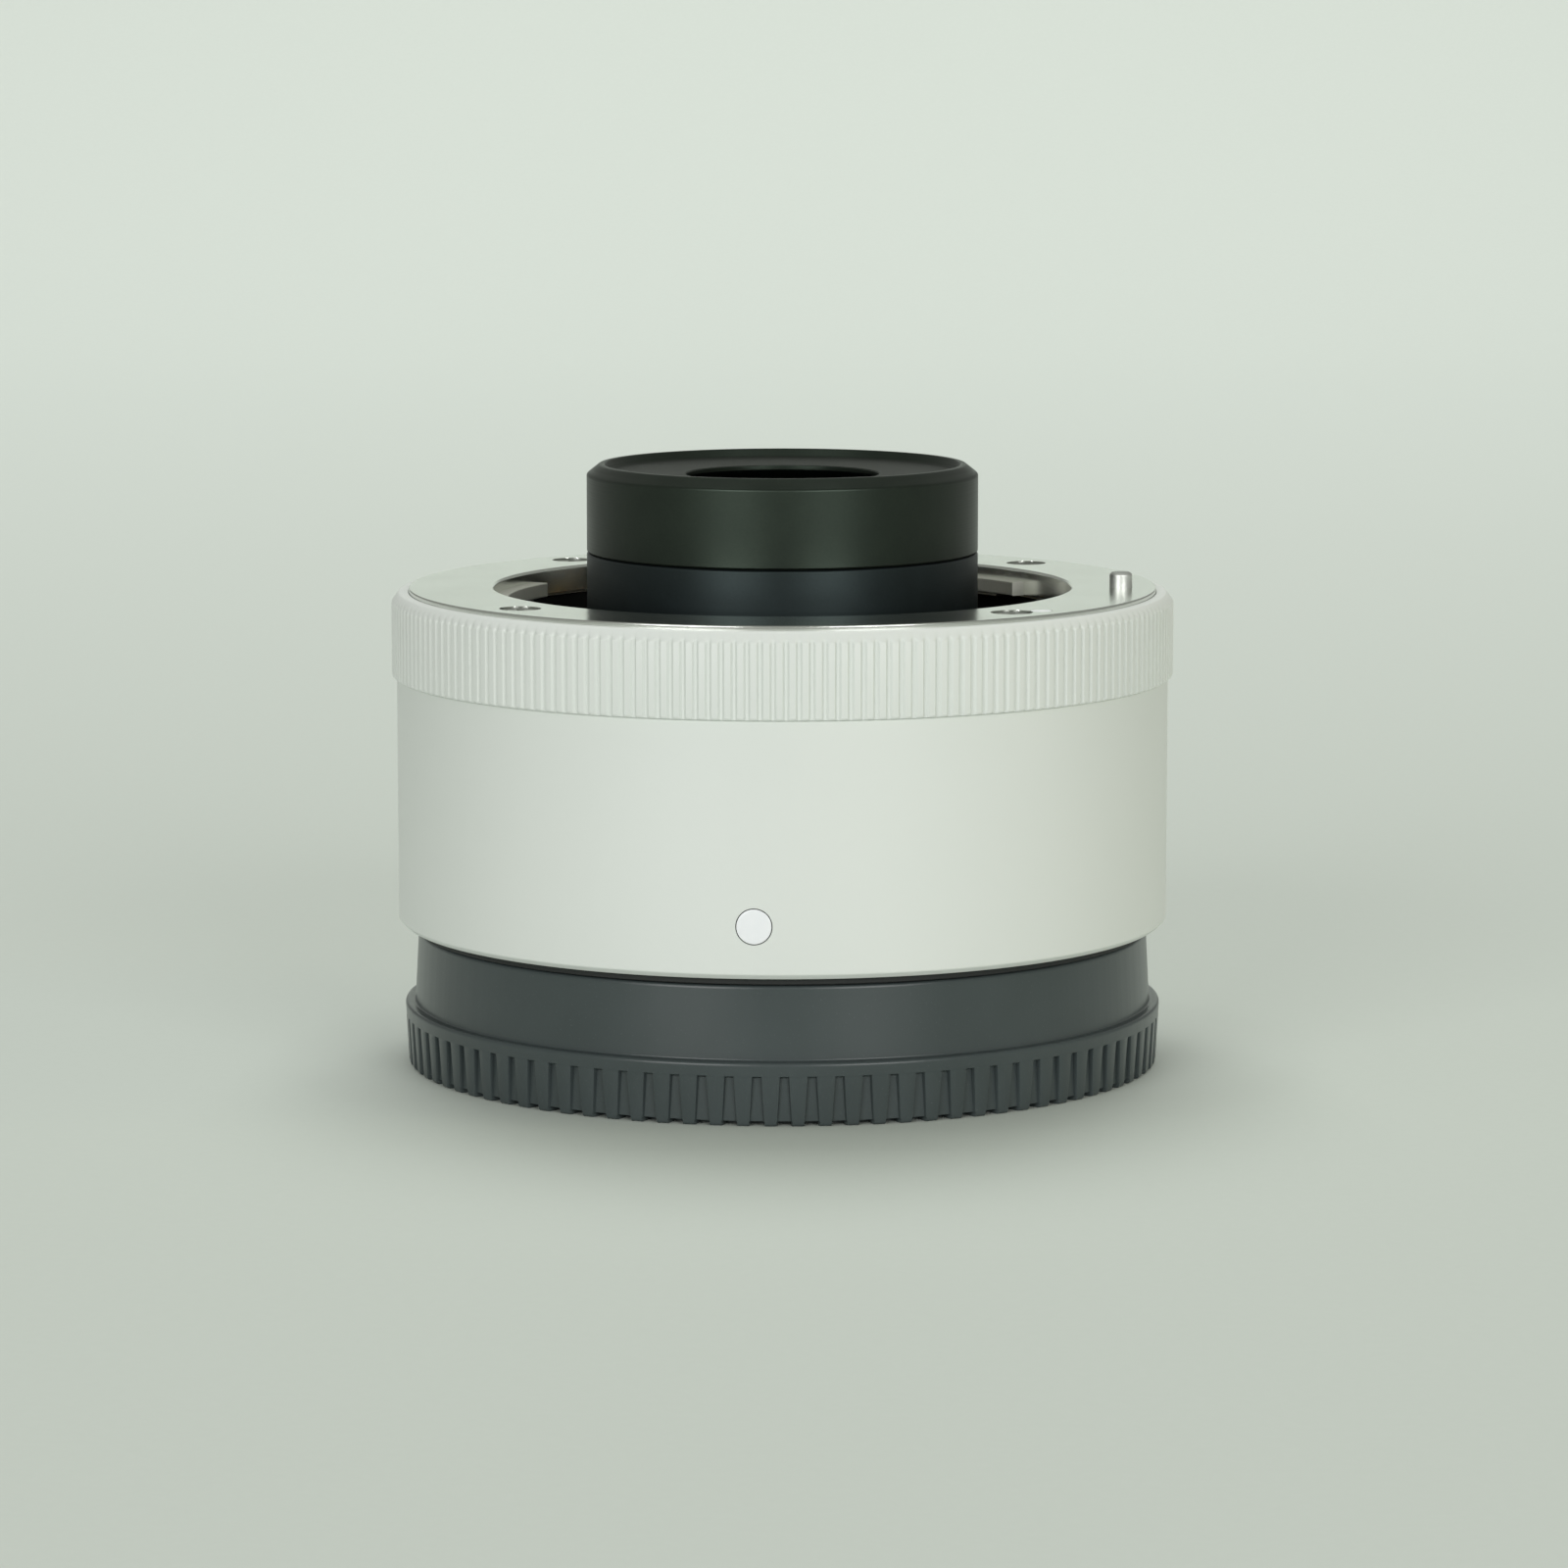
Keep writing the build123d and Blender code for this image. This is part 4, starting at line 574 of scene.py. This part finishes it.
# Painted light: the base colour is paler than the face's chrome.
blasted_painted_paler, tree, shader, place = finish("blasted_chrome_painted_paler", {
    "Base Color": linear("F4F4EA"), "Metallic": 1.0, "Roughness": 0.6})
grit = add(tree, "TexNoise", {"Vector": place, "Scale": 1 / (0.12 * mm), "Detail": 3})
gloss = add(tree, "MapRange", {"Value": grit.outputs["Fac"], "To Min": 0.5, "To Max": 0.66})
tree.links.new(gloss.outputs["Result"], shader.inputs["Roughness"])
settle(mount_claws, blasted_painted_paler, "chromed_brass", "converter")

# Mount screws: steel, with flat heads a tenth of a millimetre below the face and a cross recess
# whose sides slope in to its floor.
head_top = face_plane - 0.12
screw_line = eased([(0, 33.58), (0.85, 33.58), (0.85, 37.18), (1.55, 37.18), (1.55, head_top),
                    (0, head_top)], [0, 0.2, 0.02, 0.05, 0.16, 0])
arm_half = 0.28
arm = np.array([(arm_half, arm_half), (arm_half, 1.0), (-arm_half, 1.0)])
quarter = np.array([[0, 1], [-1, 0]])
cross = np.concatenate([arm @ np.linalg.matrix_power(quarter, n) for n in range(4)])
recess = np.stack([np.insert(cross * grow, 2, level, 1)
                   for grow, level in ((0.72, head_top - 0.5), (1.04, head_top + 0.05))])
screws = skin("mount_screws", [place_at(lathe(screw_line, np.arange(0, 360, 6)),
                                        screw_circle, a) for a in screw_angles])
cut(screws, [], [place_at(recess, screw_circle, a) for a in screw_angles])
settle(screws, steel, "screw_steel", "converter", "front_mount_screws")

# Front index mark: a drop of white paint in a shallow drilled hole.
mark = skin("front_index_paint", [place_at(lathe(eased(
    [(0, face_plane - mark_depth), (0.83, face_plane - mark_depth), (0.83, face_plane),
     (0, face_plane)], [0, 0.02, 0.1, 0]), np.arange(0, 360, 8)), mark_circle, mark_angle)])
settle(mark, dot_white, "index_white", "converter", "front_index_mark")

# Lock pin: hardened steel, tumbled to a satin finish, with a chamfered tip. It drops into the
# ring when the lever is pressed.
pin_line = eased([(0, 29.55), (0.6, 29.55), (0.6, 31.55), (1.4, 31.55), (1.4, 32.35),
                  (0.9, 32.35), (0.9, 39.2), (0.7, 39.4), (0, 39.4)],
                 [0, 0.05, 0.05, 0.1, 0.1, 0.05, 0.1, 0.15, 0])
lock_pin = skin("lock_pin_tumbled", [place_at(lathe(pin_line, np.arange(0, 360, 8)),
                                               lock_circle, lock_angle)])
tumbled, tree, shader, place = finish("tumbled_steel", {
    "Base Color": linear("E6E8E3"), "Metallic": 1.0, "Roughness": 0.5})
rubbed = add(tree, "TexNoise", {"Vector": place, "Scale": 1 / (0.3 * mm), "Detail": 3})
gloss = add(tree, "MapRange", {"Value": rubbed.outputs["Fac"], "To Min": 0.45, "To Max": 0.55})
tree.links.new(gloss.outputs["Result"], shader.inputs["Roughness"])
settle(lock_pin, tumbled, "link_steel", "lock_pin", "lock_pin")
dress(tumbled, "release_link")

# Springs: the flat bayonet spring behind the claws, and the coils of the pins and the lever, in
# drawn stainless spring steel, a little warmer and duller than the screws. Each coil stands on
# the chassis or the contact block, and is squeezed as its pin or the lever goes down.
spring_steel, tree, shader, place = finish("drawn_spring_steel", {
    "Base Color": linear("9C9A92"), "Metallic": 1.0, "Roughness": 0.3})
scale = add(tree, "TexNoise", {"Vector": place, "Scale": 1 / (0.2 * mm), "Detail": 3})
gloss = add(tree, "MapRange", {"Value": scale.outputs["Fac"], "To Min": 0.22, "To Max": 0.42})
tree.links.new(gloss.outputs["Result"], shader.inputs["Roughness"])
dress(spring_steel, "bayonet_spring")


def coil_spring(name, node, radius, wire, turns, low, high, circle, angle):
    """A coil spring with a mesh of its own. At the turn t its wire's centre is (R cos t, R sin t)
    and climbs evenly, and a row is a circle of the wire's radius w about it: (R + w cos u)
    outwards and w sin u upwards."""
    t = np.linspace(0, 2 * np.pi * turns, 20 * turns + 1)[:, None]
    u = np.arange(8) * np.pi / 4
    outwards = radius + wire * np.cos(u)
    climb = low + wire + (high - low - 2 * wire) * t / t[-1] + wire * np.sin(u)
    grid = np.stack(np.broadcast_arrays(outwards * np.cos(t), outwards * np.sin(t), climb), -1)
    piece = skin(name, [], [place_at(grid, circle, angle)])
    settle(piece, spring_steel, "spring_steel", "converter", node)
    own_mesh(piece)


coil_foot = 27.52
coil_spring("lock_pin_coil", "lock_pin_spring", radius=1.0,
            wire=0.12, turns=7, low=coil_foot, high=31.53, circle=lock_circle, angle=lock_angle)
coil_spring("lever_coil", "lever_spring", radius=1.1, wire=0.14,
            turns=8, low=coil_foot, high=32.38, circle=lock_circle, angle=107)


# Chassis: a die-cast aluminium frame inside the barrel, left as cast, with a coarse grey skin.
chassis_metal, tree, shader, place = finish("cast_aluminium", {"Metallic": 1.0,
                                                              "Roughness": 0.55})
skin_grain = add(tree, "TexNoise", {"Vector": place, "Scale": 1 / (0.35 * mm), "Detail": 4})
tone = add(tree, "Mix", {0: skin_grain.outputs["Fac"], 6: linear("6E7072"),
                         7: linear("8B8D8F")}, data_type="RGBA").outputs[2]
relief = add(tree, "Bump", {"Height": skin_grain.outputs["Fac"], "Strength": 0.4,
                            "Distance": 0.03 * mm})
tree.links.new(tone, shader.inputs["Base Color"])
tree.links.new(relief.outputs["Normal"], shader.inputs["Normal"])
dress(chassis_metal, "chassis")


# Well liner, contact blocks and baffle: glass-filled nylon moulded black and matt, so that no
# light strays past the lenses. It is a little darker and duller than the trim.
matt_black, tree, shader, place = finish("moulded_black_nylon", {"Roughness": 0.7,
                                                                 "IOR": 1.53,
                                                                 "Specular IOR Level": 0.3})
grain = add(tree, "TexNoise", {"Vector": place, "Scale": 1 / (0.2 * mm), "Detail": 3})
tone = add(tree, "Mix", {0: grain.outputs["Fac"], 6: linear("0B0D0C"), 7: linear("151817")},
           data_type="RGBA").outputs[2]
relief = add(tree, "Bump", {"Height": grain.outputs["Fac"], "Strength": 0.3,
                            "Distance": 0.02 * mm})
tree.links.new(tone, shader.inputs["Base Color"])
tree.links.new(relief.outputs["Normal"], shader.inputs["Normal"])
dress(matt_black, "well_liner", "front_contact_block", "front_contact_base",
      "rear_contact_block", "rear_baffle")

# Contact pins and pads: brass under gold plate. Each pin has a rounded tip and slides alone.
gold, tree, shader, place = finish("gold_plated_brass", {"Metallic": 1.0})
plate = add(tree, "TexNoise", {"Vector": place, "Scale": 1 / (0.25 * mm), "Detail": 3})
tone = add(tree, "Mix", {0: plate.outputs["Fac"], 6: linear("C79A45"), 7: linear("E2BD6A")},
           data_type="RGBA").outputs[2]
gloss = add(tree, "MapRange", {"Value": plate.outputs["Fac"], "To Min": 0.16, "To Max": 0.3})
tree.links.new(tone, shader.inputs["Base Color"])
tree.links.new(gloss.outputs["Result"], shader.inputs["Roughness"])
dress(gold, "rear_contact_pads")
contact_circle = 18.8
first_contact_angle = 153
contact_pitch = 6
tip = [(0.4 * np.cos(t), 34.15 + 0.3 * np.sin(t)) for t in np.radians(range(0, 91, 15))]
contact_line = np.array([(0, 30.6), (0.3, 30.6), (0.3, 31.3), (0.65, 31.3), (0.65, 31.8),
                         (0.4, 31.8)] + tip, float)
for n in range(1, 11):
    angle = first_contact_angle + contact_pitch * (n - 1)
    contact = skin(f"gold_contact_{n}", [place_at(
        lathe(contact_line, np.arange(0, 360, 15)), contact_circle, angle)])
    settle(contact, gold, "gold_contact", f"contact_pin_{n}", f"contact_pin_{n}")
    coil_spring(f"contact_coil_{n}", "contact_springs",
                radius=0.5, wire=0.06, turns=6, low=28.97, high=31.28, circle=contact_circle,
                angle=angle)


# Electronics: a green solder-masked board with its resin-cased chips, and two flexible circuits
# of amber film. They are out of sight, and their finishes are plain but real.
board_green, tree, shader, place = finish("solder_mask", {"Roughness": 0.35, "IOR": 1.55})
weave = add(tree, "TexNoise", {"Vector": place, "Scale": 1 / (0.5 * mm), "Detail": 2})
tone = add(tree, "Mix", {0: weave.outputs["Fac"], 6: linear("123B26"), 7: linear("1B4E33")},
           data_type="RGBA").outputs[2]
tree.links.new(tone, shader.inputs["Base Color"])
dress(board_green, "circuit_board")
resin, tree, shader, place = finish("moulded_epoxy", {"Roughness": 0.6, "IOR": 1.55})
filler = add(tree, "TexNoise", {"Vector": place, "Scale": 1 / (0.1 * mm), "Detail": 2})
tone = add(tree, "Mix", {0: filler.outputs["Fac"], 6: linear("1D1E20"), 7: linear("2B2C2E")},
           data_type="RGBA").outputs[2]
tree.links.new(tone, shader.inputs["Base Color"])
dress(resin, "board_chips")
amber, tree, shader, place = finish("polyimide_film", {"Roughness": 0.25, "IOR": 1.7})
track = add(tree, "TexWave", {"Vector": place, "Scale": 1 / (3 * mm)}, bands_direction="X")
tone = add(tree, "Mix", {0: track.outputs["Fac"], 6: linear("8A4B16"), 7: linear("B0712C")},
           data_type="RGBA").outputs[2]
tree.links.new(tone, shader.inputs["Base Color"])
dress(amber, "front_flex", "rear_flex")


# Front tube: turned aluminium, black anodised. It is screwed to the chassis by a flange under
# the liner, and its upper end carries the thread for the hood.
tube_radius = 15.6
tube_screw_circle = 17.7
flange_low = 28.05
flange_high = 29.6
flange_radius = 19.5
cut_flange_radius = 16.1
cut_flange_start = 144
cut_flange_end = 216
seam = 40.85
seam_bevel = 0.12
tube_line = eased([
    (10.9, flange_low), (flange_radius, flange_low), (flange_radius, flange_high),
    (tube_radius, flange_high), (tube_radius, seam - seam_bevel), (tube_radius - seam_bevel, seam),
    (14.6, seam), (14.6, 45.2), (12.6, 45.2), (12.6, 36.0), (10.9, 36.0)],
    [0.1, 0.1, 0.1, 0.1, 0.05, 0.05, 0.05, 0.1, 0.1, 0.05, 0.1])
# Beside the contact block the flange is cut back, with a step a thousandth of a degree wide.
steps = [cut_flange_start - 0.001, cut_flange_end + 0.001]
angles = np.sort(np.concatenate([np.arange(0, 360, 1), steps]))[:, None]
r, z = tube_line.T
beside_block = (angles >= cut_flange_start) & (angles <= cut_flange_end)
tube = skin("front_tube", [turn(np.where(beside_block, np.minimum(r, cut_flange_radius), r),
                                z[None], angles)])
cut(tube, [place_at(post(0.55, 27, 31), tube_screw_circle, a) for a in (0, 110, 250)])

# Black anodising over turned aluminium: a dense matt coat that still shows the lathe's rings,
# 0.1 mm apart, and clouds slightly where it was dyed. The lower tube is the cooler black.
def anodised(name, dark, light, sheen, rough):
    """A black anodised finish between two tones of its dye, with its sheen's tint."""
    made, tree, shader, place = finish(name, {
        "IOR": 1.6, "Specular IOR Level": 0.42, "Specular Tint": linear(sheen)})
    level = add(tree, "SeparateXYZ", {"Vector": place}).outputs["Z"]
    flat = add(tree, "VectorMath", {0: place, 1: (1, 1, 0)}, operation="MULTIPLY")
    radius = add(tree, "VectorMath", {0: flat.outputs[0]}, operation="LENGTH").outputs["Value"]
    along = add(tree, "Math", {0: radius, 1: level}, operation="ADD").outputs[0]
    rings = add(tree, "TexNoise", {"W": along, "Scale": 1 / (0.1 * mm), "Detail": 2},
                noise_dimensions="1D").outputs["Fac"]
    cloud = add(tree, "TexNoise", {"Vector": place, "Scale": 1 / (2.5 * mm), "Detail": 4})
    dust = add(tree, "TexNoise", {"Vector": place, "Scale": 1 / (0.18 * mm), "Detail": 2})
    mixed = add(tree, "Math", {0: cloud.outputs["Fac"], 1: dust.outputs["Fac"]},
                operation="MULTIPLY").outputs[0]
    spread = add(tree, "MapRange", {"Value": mixed, "From Min": 0.12, "From Max": 0.4})
    tone = add(tree, "Mix", {0: spread.outputs["Result"], 6: linear(dark), 7: linear(light)},
               data_type="RGBA").outputs[2]
    gloss = add(tree, "MapRange", {"Value": rings, "To Min": rough - 0.05,
                                   "To Max": rough + 0.05})
    relief = add(tree, "Bump", {"Height": rings, "Strength": 0.12, "Distance": 0.01 * mm})
    tree.links.new(tone, shader.inputs["Base Color"])
    tree.links.new(gloss.outputs["Result"], shader.inputs["Roughness"])
    tree.links.new(relief.outputs["Normal"], shader.inputs["Normal"])
    return made


cool_black = anodised("black_anodised_tube", "0B0F10", "13181A", "DCF6F6", 0.42)
settle(tube, cool_black, "black_anodised", "converter", "lens_tube")
dress(cool_black, "front_spacer", "middle_spacer", "rear_spacer", "front_retaining_ring",
      "rear_retaining_ring", "rear_lens_cell")


# Hood ring: aluminium, screwed onto the tube's thread with a hairline seam. Its rim is
# chamfered, and inside it a nearly flat ledge runs in to the opening over the front lens.
hood_foot = 40.9
hood_top = 47.9
opening_radius = 7.7
hood = skin("hood_ring_turned", [lathe(eased([
    (14.65, hood_foot), (tube_radius - seam_bevel, hood_foot),
    (tube_radius, hood_foot + seam_bevel), (tube_radius, 47.1), (14.6, hood_top),
    (14.2, hood_top), (13.9, 47.25), (opening_radius, 47.06), (opening_radius, 46.71),
    (12.6, 45.3), (14.65, 45.3)],
    [0.03, 0.04, 0.04, 0.14, 0.12, 0.08, 0.12, 0.08, 0.05, 0.05, 0.05]))])
warm_black = anodised("black_anodised_hood", "0B0E0B", "141813", "E4FFE9", 0.38)
settle(hood, warm_black, "black_anodised", "converter", "hood_ring")

# The ledge is drawn greyer than the anodising, a painted sheen for the light it catches at a
# grazing angle: a thin closed ring in a satin black that stands 0.03 mm out of the ledge.
ledge = skin("hood_ledge_painted_sheen", [lathe(np.array([
    (7.75, 47.0), (13.86, 47.2), (13.84, 47.28), (7.75, 47.09)], float))])
ledge_painted_sheen, tree, shader, place = finish("ledge_painted_sheen_black", {"Roughness": 0.5,
                                                              "Specular IOR Level": 0.28})
fleck = add(tree, "TexNoise", {"Vector": place, "Scale": 1 / (0.15 * mm), "Detail": 3})
# Painted sheen: a lighter black than the hood's anodising.
tone = add(tree, "Mix", {0: fleck.outputs["Fac"], 6: linear("1A1E1A"), 7: linear("232722")},
           data_type="RGBA").outputs[2]
tree.links.new(tone, shader.inputs["Base Color"])
settle(ledge, ledge_painted_sheen, "black_anodised", "converter")


# Lenses: six elements of optical glass, polished and coated against reflections, which leaves
# a weak green sheen. Their rims are ground.
def lens(name, radius, low, high, low_sag, high_sag):
    """A lens turned from the outline of two arcs and its straight rim. For a sag s the sphere's
    radius is S = (R R + s s) / 2|s|, and a face's height over its rim at r is
    sign(s) (sqrt(S S - r r) - S + |s|). A sag above 0 bulges out of the lens."""
    r = np.linspace(0, radius, 25)

    def arc(edge, sag):
        sphere = (radius ** 2 + sag ** 2) / (2 * max(abs(sag), 1e-6))
        return edge + np.sign(sag) * (np.sqrt(sphere ** 2 - r ** 2) - sphere + abs(sag))

    line = np.concatenate([np.stack([r, arc(low, -low_sag)], -1),
                           np.stack([r, arc(high, high_sag)], -1)[::-1]])
    return skin(name, [lathe(line, np.arange(0, 360, 3))])


glass, tree, shader, place = finish("coated_optical_glass", {
    "Base Color": linear("F3F5F3"), "Roughness": 0.02, "IOR": 1.6, "Transmission Weight": 1.0,
    "Specular IOR Level": 0.3, "Specular Tint": linear("9CC8AC")})
bloom = add(tree, "TexNoise", {"Vector": place, "Scale": 1 / (4 * mm), "Detail": 2})
gloss = add(tree, "MapRange", {"Value": bloom.outputs["Fac"], "To Min": 0.01, "To Max": 0.03})
tree.links.new(gloss.outputs["Result"], shader.inputs["Roughness"])
# Each lens's radius, the heights of its rim's two edges, and its faces' sags, from the front.
lens_sizes = ((12.55, 41.6, 43.9, -0.275, 0.55), (12.55, 37.6, 39.5, -0.8, -0.4),
              (12.55, 36.0, 37.58, 0, 0.8), (11.55, 21.6, 24.0, -0.5, -0.5),
              (11.55, 15.37, 17.57, 0.6, 0.6), (11.55, 11.57, 13.77, -0.4, -0.2))
for n, sizes in enumerate(lens_sizes, start=1):
    element = lens(f"glass_element_{n}", *sizes)
    settle(element, glass, "optical_glass", "converter", f"lens_element_{n}")
